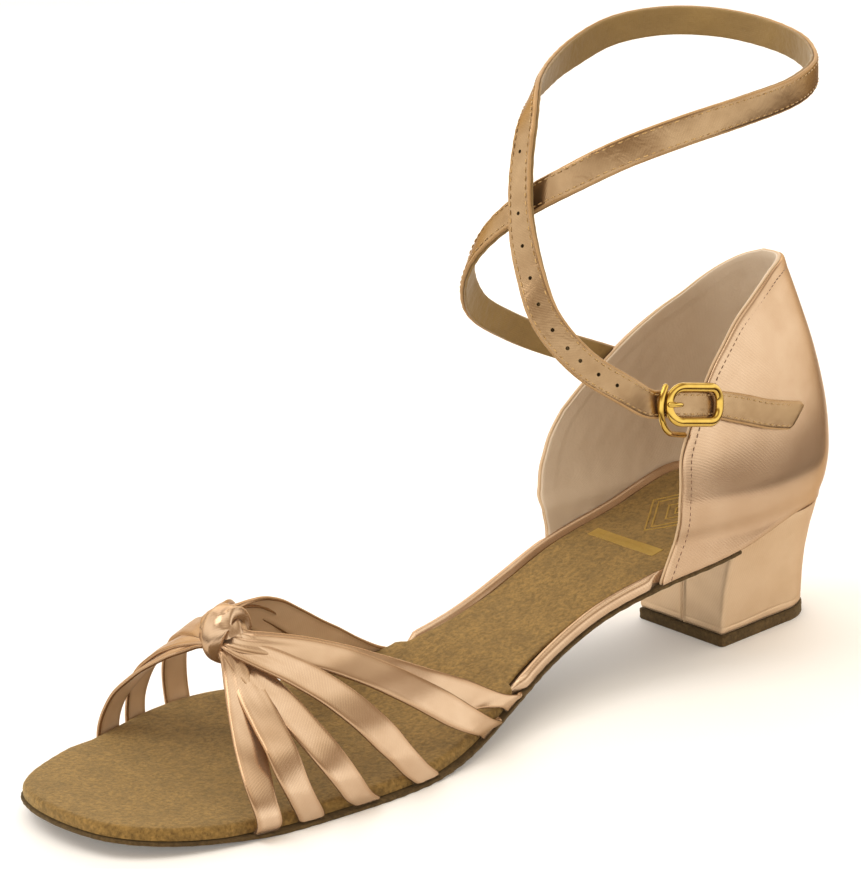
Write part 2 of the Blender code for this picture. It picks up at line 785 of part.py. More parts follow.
def ribbon(centres, across, outward, widths, thickness, slant=0.0):
    """Rings of a flat strap with thin rounded edges. slant leans the last ring's end."""
    along = unit(np.gradient(centres, axis=0))
    rings = []
    for i in range(len(centres)):
        half = widths[i] / 2
        edge = min(0.6, half * 0.4)
        ring = []
        for w, t in ((-half, 0.0), (-half + edge, 0.5), (half - edge, 0.5),
                     (half, 0.0), (half - edge, -0.5), (-half + edge, -0.5)):
            lean = along[i] * slant * w if i == len(centres) - 1 else 0.0
            ring.append(centres[i] + across[i] * w + outward[i] * t * thickness + lean)
        rings.append(np.array(ring))
    return rings


def bezier(points, steps):
    t = np.linspace(0.0, 1.0, steps)[:, None]
    a, b, c, d = (np.array(p, float) for p in points)
    return (1 - t) ** 3 * a + 3 * t * (1 - t) ** 2 * b + 3 * t * t * (1 - t) * c + t ** 3 * d


def strip_path(side, station, place, lift, reach, fall, approach, bulge, swell):
    """Middle line of a vamp strip, from the neck of the knot down to the sole."""
    y = outline_y(station, side, STRIP_INSET + STRIP_THICK / 2)
    foot = np.array((station, y, underside(station) + INSOLE_BASE))
    stand = foot + (0.0, side * 0.1, STRIP_STAND)
    start = np.array(KNOT) + (place, side * NECK_START, lift)
    root = start - (0.0, side * (NECK_START - NECK_ROOT) + 0.3 * place, 0.0)
    run = stand - start
    run[2] = 0.0
    run = unit(run)
    shoulder = start + run * 2.0 + (0.0, side * NECK_LEAVE, fall * 0.16)
    leave = shoulder + run * reach + (0.0, 0.0, fall)
    arrive = stand - run * approach + (0.0, side * bulge, swell)
    slope = bezier((shoulder, leave, arrive, stand), STRIP_STEPS * 4)
    neck = spline(np.vstack([[root], [start], slope[:1], slope[8:9]]), 8)[:16]
    curve = resample(np.vstack([neck, slope[1:]]), STRIP_STEPS)
    return np.vstack([curve, [foot + (stand - foot) * 0.45, foot]])


def instep_level(point):
    """1 on the form of the instep that the strips lie over, more outside it."""
    x, y, z = point
    half = np.interp(x, [row[0] for row in INSTEP], [row[1] for row in INSTEP])
    height = np.interp(x, [row[0] for row in INSTEP], [row[2] for row in INSTEP])
    return (y / half) ** 2 + ((z - underside(x)) / height) ** 2


def instep_outward(point):
    """Direction straight out of the instep."""
    step = np.eye(3)
    return unit(np.array([instep_level(point + axis) - instep_level(point - axis) for axis in step]))


def build_strip(row, index, material):
    side, front, rear, *course = row
    inset = STRIP_INSET + STRIP_THICK / 2
    ahead = np.array((front, outline_y(front, side, inset), 0.0))
    behind = np.array((rear, outline_y(rear, side, inset), 0.0))
    centres = strip_path(side, (front + rear) / 2, *course)
    steps = np.linalg.norm(np.diff(centres, axis=0), axis=1)
    gone = np.concatenate([[0.0], np.cumsum(steps)])
    along = unit(np.gradient(centres, axis=0))
    face = np.array([instep_outward(p) for p in centres])
    level = unit(np.cross(along, face)) * side
    turn = ease(gone[-1] - gone, STRIP_TURN[0], STRIP_TURN[1])[:, None]
    width = (STRIP_NECK_WIDTH + (STRIP_WIDTH - STRIP_NECK_WIDTH) * ease(gone, *STRIP_SPREAD))[:, None]
    across = level * width * turn + (ahead - behind) * (1.0 - turn)
    outward = unit(np.cross(across, along)) * side
    widths = np.linalg.norm(across, axis=1)
    rings = ribbon(centres, across / widths[:, None], outward, widths, STRIP_THICK)
    rings[-1][:, 2] = [underside(x) + INSOLE_BASE for x in rings[-1][:, 0]]
    return loft("strip_%02d" % index, rings, material)


def neck_ring(y, scale):
    centre = np.array(KNOT)
    ring = []
    for k in range(NECK_SIDES):
        a = 2 * math.pi * k / NECK_SIDES
        ring.append(centre + (NECK_X * scale * math.cos(a), y, NECK_Z * scale * math.sin(a)))
    return np.array(ring)


def build_vamp(material):
    """Twelve strips joined where they gather in the neck of the knot."""
    ends = ((-NECK_HALF_LENGTH, NECK_END), (-NECK_HALF_LENGTH * 0.6, 1.0),
            (NECK_HALF_LENGTH * 0.6, 1.0), (NECK_HALF_LENGTH, NECK_END))
    vamp = loft("vamp_straps", [neck_ring(y, scale) for y, scale in ends], material)
    for index, row in enumerate(STRIPS):
        strip = build_strip(row, index, material)
        strip.hide_render = True
        strip.display_type = "WIRE"
        join = vamp.modifiers.new("join_%02d" % index, "BOOLEAN")
        join.operation = "UNION"
        join.object = strip
        join.solver = "EXACT"
    return vamp


def build_knot(material):
    """The loop of satin wound once round the gathered strips."""
    hole = np.array((NECK_X + GAP, 0.0, NECK_Z + GAP))
    uneven, turn = WRAP_UNEVEN
    rings = []
    for k in range(WRAP_SIDES):
        a = 2 * math.pi * k / WRAP_SIDES
        out = np.array((math.cos(a), 0.0, math.sin(a)))
        half = WRAP_WIDTH / 2 * (1.0 - uneven * math.cos(a - turn))
        middle = np.array(KNOT) + out * hole
        rings.append(np.array([middle + out * WRAP_THICK * rise + (0.0, half * across, 0.0)
                               for across, rise in WRAP_PROFILE]))
    faces = ring_faces(WRAP_SIDES, len(WRAP_PROFILE), True, True)
    return make_object("knot_wrap", np.concatenate(rings), faces, material, 50.0)


# --- ankle strap and buckle ---

def buckle_point(along, up, out):
    """A point from the buckle's middle: along the strap towards its tail, up and outwards."""
    tail = np.array((-math.cos(BUCKLE_PITCH), 0.0, -math.sin(BUCKLE_PITCH)))
    face = np.array((0.0, math.cos(BUCKLE_LEAN), math.sin(BUCKLE_LEAN)))
    face = unit(face - tail * np.dot(face, tail))
    return np.array(BUCKLE) + tail * along + np.cross(face, tail) * up + face * out


def ankle_outward(point):
    """Direction out of the ankle that the strap is wrapped round."""
    x, y, z = point
    front = np.interp(z, [row[0] for row in ANKLE_FRONT], [row[1] for row in ANKLE_FRONT])
    middle = (front + ANKLE_BACK) / 2
    length = (front - ANKLE_BACK) / 2
    lean = ANKLE_LEAN * max((x - middle) / length, 0.0)
    flat = unit(np.array(((x - middle) / length ** 2, y / ANKLE_HALF_WIDTH ** 2, 0.0)))
    return unit(flat + (0.0, 0.0, lean))


def build_strap(material, outer, inner):
    """One ribbon from the inner wall, round the ankle, through the buckle to its tail."""
    off = STRAP_THICK / 2 + STRAP_OFF_WALL
    start = [inner.beside(station, height, off) for station, height in STRAP_START]
    through = [buckle_point(along, 0.0, out) for along, out in STRAP_END]
    tail = [outer.beside(station, height, off) for station, height in STRAP_TAIL]
    curve = spline(np.array(start + list(STRAP_ROUTE) + through + tail), 14)
    length = np.sum(np.linalg.norm(np.diff(curve, axis=0), axis=1))
    centres = resample(curve, int(length / STRAP_STEP) + 1)
    along = unit(np.gradient(centres, axis=0))
    low = 1.0 - ease(centres[:, 2], *STRAP_LOW)
    outward = []
    for i, (x, _, z) in enumerate(centres):
        wall = outer if i > len(centres) / 2 else inner
        flat = wall.outward(min(x, STRAP_FLAT[0]), min(z, STRAP_FLAT[1]))
        outward.append(unit(ankle_outward(centres[i]) * (1.0 - low[i]) + flat * low[i]))
    across = unit(np.cross(np.array(outward), along))
    outward = unit(np.cross(along, across))
    from_buckle = np.linalg.norm(centres - np.array(BUCKLE), axis=1)
    widths = STRAP_WIDTH - (STRAP_WIDTH - STRAP_NARROW) * (1.0 - ease(from_buckle, *STRAP_TAPER))
    rings = ribbon(centres, across, outward, widths, STRAP_THICK, STRAP_SLANT)
    return loft("ankle_strap", rings, material)


def tube_rings(path, radius, sides, closed, normal):
    """Rings of a round bar along a path that lies near a plane with the given normal."""
    path = np.array(path)
    count = len(path)
    rings = []
    for i in range(count):
        before = path[i - 1] if closed or i > 0 else path[0]
        after = path[(i + 1) % count] if closed or i < count - 1 else path[-1]
        along = unit(after - before)
        across = unit(np.cross(normal, along))
        out = np.cross(along, across)
        reach = radius[i] if isinstance(radius, (list, tuple)) else radius
        rings.append(np.array([path[i] + (across * math.cos(a) + out * math.sin(a)) * reach
                               for a in (2 * math.pi * k / sides for k in range(sides))]))
    return rings


def build_buckle_frame(material):
    """A rounded oblong ring, bowed outwards between its two bars."""
    path = []
    for sx, sy, start in ((1, 1, 0.0), (-1, 1, 0.5), (-1, -1, 1.0), (1, -1, 1.5)):
        for k in range(FRAME_CORNER_STEPS):
            a = math.pi * (start + 0.5 * k / (FRAME_CORNER_STEPS - 1))
            x = sx * (FRAME_LENGTH / 2 - FRAME_CORNER) + FRAME_CORNER * math.cos(a)
            z = sy * (FRAME_HEIGHT / 2 - FRAME_CORNER) + FRAME_CORNER * math.sin(a)
            path.append(buckle_point(x, z, FRAME_BOW * (1.0 - (2 * x / FRAME_LENGTH) ** 2)))
    rings = tube_rings(path, BAR / 2, BAR_SIDES, True, np.array((0.0, 1.0, 0.0)))
    faces = ring_faces(len(rings), BAR_SIDES, True, True)
    return make_object("buckle_frame", np.concatenate(rings), faces, material, 60.0)


def build_buckle_hook(material):
    """The second bar beside the frame, whose foot runs back to the counter's edge."""
    path = resample(spline([buckle_point(*p) for p in HOOK_ROUTE]), HOOK_STEPS)
    rings = tube_rings(path, BAR / 2 * HOOK_SLIM, BAR_SIDES, False, np.array((0.0, 1.0, 0.0)))
    return loft("buckle_hook", rings, material, 60.0)


def build_buckle_prong(material):
    """The short prong, from the frame's front bar over the strap."""
    path = [buckle_point(*p) for p in PRONG_ROUTE]
    rings = tube_rings(path, PRONG_RADII, BAR_SIDES, False, np.array((0.0, 0.0, 1.0)))
    return loft("buckle_prong", rings, material, 60.0)


def clear_scene():
    for thing in list(bpy.data.objects):
        bpy.data.objects.remove(thing, do_unlink=True)


def main():
    clear_scene()
    suede_edge = make_material("outsole suede", (0.07, 0.045, 0.028), 0.95)
    satin = make_material("satin", (0.78, 0.53, 0.36), 0.35, sheen=0.4)
    sock_suede = make_material("sock suede", (0.33, 0.25, 0.11), 0.95, sheen=0.5)
    gold = make_material("gold plate", (0.75, 0.52, 0.14), 0.18, metallic=1.0)
    build_outsole(suede_edge)
    build_insole(satin)
    build_sock(sock_suede)
    build_heel(satin)
    build_top_lift(suede_edge)
    outer = Wall(1, EDGE_OUTER)
    inner = Wall(-1, EDGE_INNER)
    build_counter(satin, outer, inner)
    build_vamp(satin)
    build_knot(satin)
    build_strap(satin, outer, inner)
    build_buckle_frame(gold)
    build_buckle_hook(gold)
    build_buckle_prong(gold)


main()
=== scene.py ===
# Left latin dance sandal in flesh-gold satin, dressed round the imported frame.
# Shapes are worked out in millimetres: x is the distance forward from the back of the heel,
# +y the outer side, z the height over the floor. makePiece() turns them into metres.
import math

import bmesh
import bpy
import numpy as np
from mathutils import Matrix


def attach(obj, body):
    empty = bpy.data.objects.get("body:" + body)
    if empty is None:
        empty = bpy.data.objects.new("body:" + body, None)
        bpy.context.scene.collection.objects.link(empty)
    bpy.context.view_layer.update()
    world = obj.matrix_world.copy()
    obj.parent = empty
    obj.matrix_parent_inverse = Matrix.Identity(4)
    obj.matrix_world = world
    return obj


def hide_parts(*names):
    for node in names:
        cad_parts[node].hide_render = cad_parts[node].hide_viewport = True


print("frame")
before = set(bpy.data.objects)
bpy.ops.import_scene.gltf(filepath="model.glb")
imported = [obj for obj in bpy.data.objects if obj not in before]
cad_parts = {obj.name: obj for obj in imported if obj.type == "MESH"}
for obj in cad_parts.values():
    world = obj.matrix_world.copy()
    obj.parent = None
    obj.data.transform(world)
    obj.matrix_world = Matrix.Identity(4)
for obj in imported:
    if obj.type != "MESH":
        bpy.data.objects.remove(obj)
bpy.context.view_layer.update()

mm = 0.001
heelMiddle = 23.5   # distance from the back of the heel to the object's origin
seamGap = 0.3       # room left where two solid layers meet


# camera, floor and light
view = {
    "target": (98.9, 0.0, 71.1),
    "turn": 38.2,        # degrees from the outer side towards the toe
    "rise": 16.7,
    "roll": -2.12,
    "distance": 802.8,
    "lens": 136.56,
}
studio = {
    "floor": "#F4F3F1",
    "floorGlow": 0.12,       # the floor is a table lit from below
    "floorRoughness": 0.7,
    "floorNear": (0.13, 0.15),    # place in front of the shoe and half width, in metres
    "floorFar": (-2.6, 0.52),
    "world": 1.84,
    "room": ((-1.0, "#2E2118"), (-0.34, "#3C2C20"), (-0.22, "#7A6450"), (-0.06, "#FFFAF0"),
             (0.36, "#FFFDF8"), (0.55, "#A08A70"), (0.78, "#7C664E"), (0.91, "#E8DCC8"),
             (1.0, "#FFFDF8")),    # sine of the height, colour
    "roomLean": 4.0,         # degrees that its poles lean towards the outer side
    "middle": (0.09, 0.0, 0.07),
    "aim": (0.08, 0.0, 0.06),
}
# area lights: power, size, then place to the right, to the front and up from the middle
lamps = {
    "keyLight": (6.0, (0.9, 0.7), (-0.75, 0.0, 0.95)),
    "backLight": (2.2, (1.2, 0.5), (0.0, -0.8, 0.8)),
}


def toLinear(colour):
    # sRGB hex to the linear values that shaders take
    parts = [int(colour[i:i + 2], 16) / 255 for i in (1, 3, 5)]
    return tuple(c / 12.92 if c <= 0.04045 else ((c + 0.055) / 1.055) ** 2.4 for c in parts) + (1.0,)


def addNode(tree, kind, settings=None, feeds=None):
    # one node with its settings, and its inputs fed by a value or by another node's socket
    node = tree.nodes.new(kind)
    for name, value in (settings or {}).items():
        setattr(node, name, value)
    for name, value in (feeds or {}).items():
        socket = node.inputs[name]
        if isinstance(value, bpy.types.NodeSocket):
            tree.links.new(value, socket)
        else:
            socket.default_value = value
    return node


def newObject(name, data):
    thing = bpy.data.objects.new(name, data)
    bpy.context.scene.collection.objects.link(thing)
    return thing


def aimed(name, data, right, up, back, place):
    # a camera or lamp with these axes, at a place in metres
    thing = newObject(name, data)
    matrix = np.eye(4)
    matrix[:3] = np.column_stack([right, up, back, place])
    thing.matrix_world = [list(row) for row in matrix.T]
    return thing


def placeCamera():
    turn, rise, roll = (math.radians(view[key]) for key in ("turn", "rise", "roll"))
    back = np.array((math.sin(turn) * math.cos(rise), math.cos(turn) * math.cos(rise), math.sin(rise)))
    right = unit(np.cross(-back, (0.0, 0.0, 1.0)))
    up = np.cross(right, -back)
    tiltedRight = math.cos(roll) * right + math.sin(roll) * up
    tiltedUp = math.cos(roll) * up - math.sin(roll) * right
    data = bpy.data.cameras.new("camera")
    data.lens = view["lens"]
    place = (np.array(view["target"]) + back * view["distance"]) * mm
    bpy.context.scene.camera = aimed("camera", data, tiltedRight, tiltedUp, back, place)
    return tiltedRight, back


def addLight(name, power, size, place):
    data = bpy.data.lights.new(name, "AREA")
    data.shape = "RECTANGLE"
    data.size, data.size_y = size
    data.energy = power
    away = unit(place - np.array(studio["aim"]))
    side = unit(np.cross((0.0, 0.0, 1.0), away))
    aimed(name, data, side, np.cross(away, side), away, place)


def makeRoom():
    # surroundings that satin and gold mirror: a dark ground, pale walls, a brown ring high up
    # and a pale patch overhead
    world = bpy.data.worlds.new("studioWorld")
    world.use_nodes = True
    tree = world.node_tree
    place = addNode(tree, "ShaderNodeTexCoord")
    lean = math.radians(studio["roomLean"])
    rise = addNode(tree, "ShaderNodeVectorMath", {"operation": "DOT_PRODUCT"}, {
        0: place.outputs["Generated"], 1: (0.0, math.sin(lean), math.cos(lean))})
    height = addNode(tree, "ShaderNodeMapRange", None, {"Value": rise.outputs["Value"], "From Min": -1.0})
    room = addNode(tree, "ShaderNodeValToRGB", None, {"Fac": height.outputs["Result"]})
    room.color_ramp.interpolation = "B_SPLINE"
    stops = room.color_ramp.elements
    for k, (rise, colour) in enumerate(studio["room"]):
        stop = stops[k] if k < 2 else stops.new(1.0)
        stop.position, stop.color = (rise + 1.0) / 2, toLinear(colour)
    light = tree.nodes["Background"]
    light.inputs["Strength"].default_value = studio["world"]
    tree.links.new(room.outputs["Color"], light.inputs["Color"])
    return world


def makeFloor(back):
    # a pale table, cut off just outside the picture so that the satin mirrors little of it
    ahead = unit(back * (1.0, 1.0, 0.0))
    aside = np.array((ahead[1], -ahead[0], 0.0))
    middle = np.array(studio["middle"]) * (1.0, 1.0, 0.0)
    corners = [middle + ahead * place + aside * half * side
               for (place, half), sides in ((studio["floorNear"], (1, -1)), (studio["floorFar"], (-1, 1)))
               for side in sides]
    mesh = bpy.data.meshes.new("floor")
    mesh.from_pydata(corners, [], [(3, 2, 1, 0)])
    floor = newObject("floor", mesh)
    shade = toLinear(studio["floor"])
    material = newMaterial("pale studio floor", studio["floorRoughness"], Base_Color=shade,
                           Emission_Color=shade, Emission_Strength=studio["floorGlow"])[0]
    mesh.materials.append(material)


def buildStudio():
    print("studio")
    scene = bpy.context.scene
    scene.view_settings.view_transform = "Standard"
    right, back = placeCamera()
    for name, (power, size, (aside, ahead, rise)) in lamps.items():
        place = np.array(studio["middle"]) + right * aside + back * ahead + (0.0, 0.0, rise)
        addLight(name, power, size, place)
    scene.world = makeRoom()
    makeFloor(back)


# small geometry tools
def lookup(rows, at, column=1):
    # smooth value of a table's column at a place in its first column, without overshoot
    keys = np.array([row[0] for row in rows], float)
    values = np.array([row[column] for row in rows], float)
    order = np.argsort(keys)
    keys, values = keys[order], values[order]
    step = np.diff(keys)
    slope = np.diff(values) / step
    bend = np.zeros(len(keys))
    mean = (step[1:] * slope[:-1] + step[:-1] * slope[1:]) / (step[1:] + step[:-1])
    limit = 3.0 * np.minimum(abs(slope[:-1]), abs(slope[1:]))
    bend[1:-1] = np.where(slope[:-1] * slope[1:] > 0.0, np.clip(mean, -limit, limit), 0.0)
    bend[0], bend[-1] = slope[0], slope[-1]
    at = np.clip(at, keys[0], keys[-1])
    i = np.clip(np.searchsorted(keys, at) - 1, 0, len(step) - 1)
    t = (at - keys[i]) / step[i]
    low = values[i] * (1 + 2 * t) * (1 - t) ** 2 + bend[i] * step[i] * t * (1 - t) ** 2
    return low + values[i + 1] * t * t * (3 - 2 * t) - bend[i + 1] * step[i] * t * t * (1 - t)


def straight(rows, at, column=1):
    # the same in straight steps, for a table in rising order
    return np.interp(at, [row[0] for row in rows], [row[column] for row in rows])


def spline(points, perSpan=12):
    # points on a smooth curve through the given points
    points = np.array(points, float)
    step = np.sqrt(np.linalg.norm(np.diff(points, axis=0), axis=1))[:, None]
    slope = np.diff(points, axis=0) / step
    bend = np.empty_like(points)
    bend[1:-1] = (step[1:] * slope[:-1] + step[:-1] * slope[1:]) / (step[1:] + step[:-1])
    bend[0], bend[-1] = slope[0], slope[-1]
    out = []
    for i in range(len(slope)):
        for t in np.arange(perSpan) / perSpan:
            start = points[i] * (1 + 2 * t) * (1 - t) ** 2 + bend[i] * step[i] * t * (1 - t) ** 2
            end = points[i + 1] * t * t * (3 - 2 * t) - bend[i + 1] * step[i] * t * t * (1 - t)
            out.append(start + end)
    out.append(points[-1])
    return np.array(out)


def travel(curve):
    return np.concatenate([[0.0], np.cumsum(np.linalg.norm(np.diff(curve, axis=0), axis=1))])


def resample(curve, count):
    curve = np.array(curve, float)
    run = travel(curve)
    at = np.linspace(0.0, run[-1], count)
    return np.stack([np.interp(at, run, curve[:, k]) for k in range(curve.shape[1])], axis=1)


def unit(vector):
    return vector / np.maximum(np.linalg.norm(vector, axis=-1, keepdims=True), 1e-9)


def ease(value, low, high):
    t = np.clip((value - low) / (high - low), 0.0, 1.0)
    return t * t * (3 - 2 * t)


def bump(value, middle, width):
    return np.exp(-((value - middle) / width) ** 2)


def newMesh(name, points, faces=(), edges=()):
    # points go from millimetres to metres round the object's origin
    mesh = bpy.data.meshes.new(name)
    points = (np.array(points, float) - (heelMiddle, 0.0, 0.0)) * mm
    mesh.from_pydata(points.tolist(), edges, faces)
    return mesh


def faceOutward(mesh):
    shape = bmesh.new()
    shape.from_mesh(mesh)
    bmesh.ops.recalc_face_normals(shape, faces=shape.faces)
    shape.to_mesh(mesh)
    shape.free()


def modified(piece):
    # a new mesh with the modifiers of an object applied
    seen = piece.evaluated_get(bpy.context.evaluated_depsgraph_get())
    return bpy.data.meshes.new_from_object(seen)


def makePiece(name, points, faces, materials, uv=None, edge=None, faceMaterials=None,
              replaced=(), slot=None, sharp=50.0):
    # a closed mesh in metres, riding on the shoe; edge is 1 at a cloth's edges and 0 elsewhere
    mesh = newMesh(name, points, faces)
    if uv is not None:
        layer = mesh.uv_layers.new(name="UVMap")
        corners = np.array([loop.vertex_index for loop in mesh.loops])
        layer.data.foreach_set("uv", (np.array(uv)[corners] * mm).ravel())
    attribute = mesh.attributes.new("edge", "FLOAT", "POINT")
    attribute.data.foreach_set("value", np.zeros(len(points)) if edge is None else np.array(edge, float))
    for material in materials:
        mesh.materials.append(material)
    if faceMaterials is not None:
        mesh.polygons.foreach_set("material_index", np.array(faceMaterials, int))
    faceOutward(mesh)
    mesh.shade_smooth()
    mesh.set_sharp_from_angle(angle=math.radians(sharp))
    return settle(newObject(name, mesh), replaced)


def settle(piece, replaced=()):
    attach(piece, "root")
    if replaced:
        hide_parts(*replaced)
    return piece


def ringFaces(rings, size, closedStack=False):
    # four-sided faces between closed rings of equal size
    faces = []
    for r in range(rings if closedStack else rings - 1):
        a, b = r * size, ((r + 1) % rings) * size
        for k in range(size):
            n = (k + 1) % size
            faces.append((a + k, a + n, b + n, b + k))
    return faces


def stacked(rings):
    # closed rings of equal size joined up, with flat ends
    size = len(rings[0])
    last = (len(rings) - 1) * size
    ends = [tuple(range(size)), tuple(range(last, last + size))]
    return np.concatenate(rings), ringFaces(len(rings), size) + ends


def closedSheet(face, back):
    # a sheet with a face, a back and rounded edges, from two grids of points
    roundSteps = 3                  # rows of points round the edge
    edgeShade, edgeStep = 0.9, 0.2     # width of the band of painted shade along the edge, and the pattern's step round it
    countU, countV = face.shape[:2]
    border = [(i, 0) for i in range(countU)] + [(countU - 1, j) for j in range(1, countV)]
    border += [(i, countV - 1) for i in range(countU - 2, -1, -1)]
    border += [(0, j) for j in range(countV - 2, 0, -1)]
    alongU = np.linalg.norm(np.diff(face, axis=0), axis=2).mean(axis=1)
    alongV = np.linalg.norm(np.diff(face, axis=1), axis=2).mean(axis=0)
    u = np.concatenate([[0.0], np.cumsum(alongU)])
    v = np.concatenate([[0.0], np.cumsum(alongV)])
    v -= v[-1] / 2
    flat = np.stack(np.meshgrid(u, v, indexing="ij"), axis=2)
    near = np.minimum(v - v[0], v[-1] - v)
    nearness = np.broadcast_to(np.clip(1.0 - near / edgeShade, 0.0, 1.0), (countU, countV))
    points = [face.reshape(-1, 3), back.reshape(-1, 3)]
    uvs = [flat.reshape(-1, 2), flat.reshape(-1, 2)]
    edges = [nearness.reshape(-1), nearness.reshape(-1)]
    count = countU * countV
    faces, group = [], []
    for i in range(countU - 1):
        for j in range(countV - 1):
            a = i * countV + j
            b = a + countV
            faces += [(a, b, b + 1, a + 1), (count + a, count + a + 1, count + b + 1, count + b)]
            group += [0, 2]
    arcs = np.arange(1, roundSteps + 1) * math.pi / (roundSteps + 1)
    for i, j in border:
        inI = min(max(i, 1), countU - 2)
        inJ = min(max(j, 1), countV - 2)
        outward = unit(face[i, j] - face[inI, inJ])
        middle = (face[i, j] + back[i, j]) / 2
        half = (face[i, j] - back[i, j]) / 2
        reach = np.linalg.norm(half)
        points.append(np.array([middle + half * math.cos(a) + outward * reach * math.sin(a) for a in arcs]))
        step = flat[i, j] - flat[inI, inJ]
        step = step / max(np.linalg.norm(step), 1e-6)
        uvs.append(np.array([flat[i, j] + step * (k + 1) * edgeStep for k in range(roundSteps)]))
        edges.append(np.ones(roundSteps))
    total = len(border)
    for k in range(total):
        n = (k + 1) % total
        a = border[k][0] * countV + border[k][1]
        b = border[n][0] * countV + border[n][1]
        chainA = [a] + [2 * count + k * roundSteps + s for s in range(roundSteps)] + [count + a]
        chainB = [b] + [2 * count + n * roundSteps + s for s in range(roundSteps)] + [count + b]
        for s in range(roundSteps + 1):
            faces.append((chainA[s], chainA[s + 1], chainB[s + 1], chainB[s]))
            group.append(1)
    return np.concatenate(points), faces, np.concatenate(uvs), np.concatenate(edges), group


def tubeRings(path, radius, sides, normal, closed=False, flatten=1.0):
    # rings of a round bar along a path that lies near a plane with the given normal
    path = np.array(path, float)
    count = len(path)
    radius = np.broadcast_to(np.array(radius, float), (count,))
    angles = 2 * math.pi * np.arange(sides) / sides
    rings = []
    for i in range(count):
        before = path[i - 1] if closed or i > 0 else path[0]
        after = path[(i + 1) % count] if closed or i < count - 1 else path[-1]
        along = unit(after - before)
        across = unit(np.cross(normal, along))
        out = np.cross(along, across)
        rings.append(path[i] + (np.outer(np.cos(angles), across) + np.outer(np.sin(angles), out) * flatten)
                     * radius[i])
    return rings


def capped(path, radius, sides, normal):
    # a round bar with domed ends
    path = np.array(path, float)
    radius = np.broadcast_to(np.array(radius, float), (len(path),)).copy()
    front, rear = unit(path[0] - path[1]), unit(path[-1] - path[-2])
    domes = np.radians((30.0, 60.0, 85.0))
    head = [path[0] + front * radius[0] * math.sin(a) for a in domes[::-1]]
    tail = [path[-1] + rear * radius[-1] * math.sin(a) for a in domes]
    fullPath = np.vstack([head, path, tail])
    fullRadius = np.concatenate([radius[0] * np.cos(domes[::-1]), radius, radius[-1] * np.cos(domes)])
    return stacked(tubeRings(fullPath, fullRadius, sides, normal))


# materials
def newMaterial(name, roughness, metallic=0.0, **more):
    material = bpy.data.materials.new(name)
    material.use_nodes = True
    shader = material.node_tree.nodes["Principled BSDF"]
    shader.inputs["Roughness"].default_value = roughness
    shader.inputs["Metallic"].default_value = metallic
    for key, value in more.items():
        shader.inputs[key.replace("_", " ")].default_value = value
    return material, material.node_tree, shader


def noise(tree, place, scale, detail, roughness=0.5, distortion=0.0):
    return addNode(tree, "ShaderNodeTexNoise", None, {
        "Vector": place, "Scale": scale, "Detail": detail, "Roughness": roughness,
        "Distortion": distortion}).outputs["Fac"]


def clothPlace(tree):
    return addNode(tree, "ShaderNodeUVMap", {"uv_map": "UVMap"}).outputs["UV"]


def solidPlace(tree):
    return addNode(tree, "ShaderNodeTexCoord").outputs["Object"]


def waves(tree, place, direction, pitch, **more):
    # lines that lie this many millimetres apart
    return addNode(tree, "ShaderNodeTexWave", {"bands_direction": direction}, {
        "Vector": place, "Scale": 2 * math.pi / (20.0 * pitch * mm), **more})


def ranged(tree, value, low, high, toLow=0.0, toHigh=1.0):
    return addNode(tree, "ShaderNodeMapRange", None, {
        "Value": value, "From Min": low, "From Max": high, "To Min": toLow, "To Max": toHigh}).outputs[0]


def mixed(tree, share, low, high, blend="MIX"):
    return addNode(tree, "ShaderNodeMix", {"data_type": "RGBA", "blend_type": blend}, {
        0: share, 6: low, 7: high}).outputs[2]


def raised(tree, height, strength, distance, normal=None):
    # relief of this many millimetres
    feeds = {"Height": height, "Strength": strength, "Distance": distance * mm}
    if normal is not None:
        feeds["Normal"] = normal
    return addNode(tree, "ShaderNodeBump", None, feeds).outputs["Normal"]


def finished(material, tree, shader, colour, normal):
    tree.links.new(colour, shader.inputs["Base Color"])
    tree.links.new(normal, shader.inputs["Normal"])
    return material


satinCloth = {
    # edge: the colour of the painted shade along a cloth's edges
    "light": "#C5AA8E", "deep": "#B19273", "edge": "#94704B", "sheen": "#FFE6C8",
    "grazing": "#C2A688",    # satin keeps its colour where it is seen edge-on
    "pitch": 0.62,       # twill lines of a satin are about 0.2 mm apart, drawn coarser to show
    "slant": 0.7,
    "weave": 0.06,
    "roughness": 0.25,
    "metallic": 0.85,
}


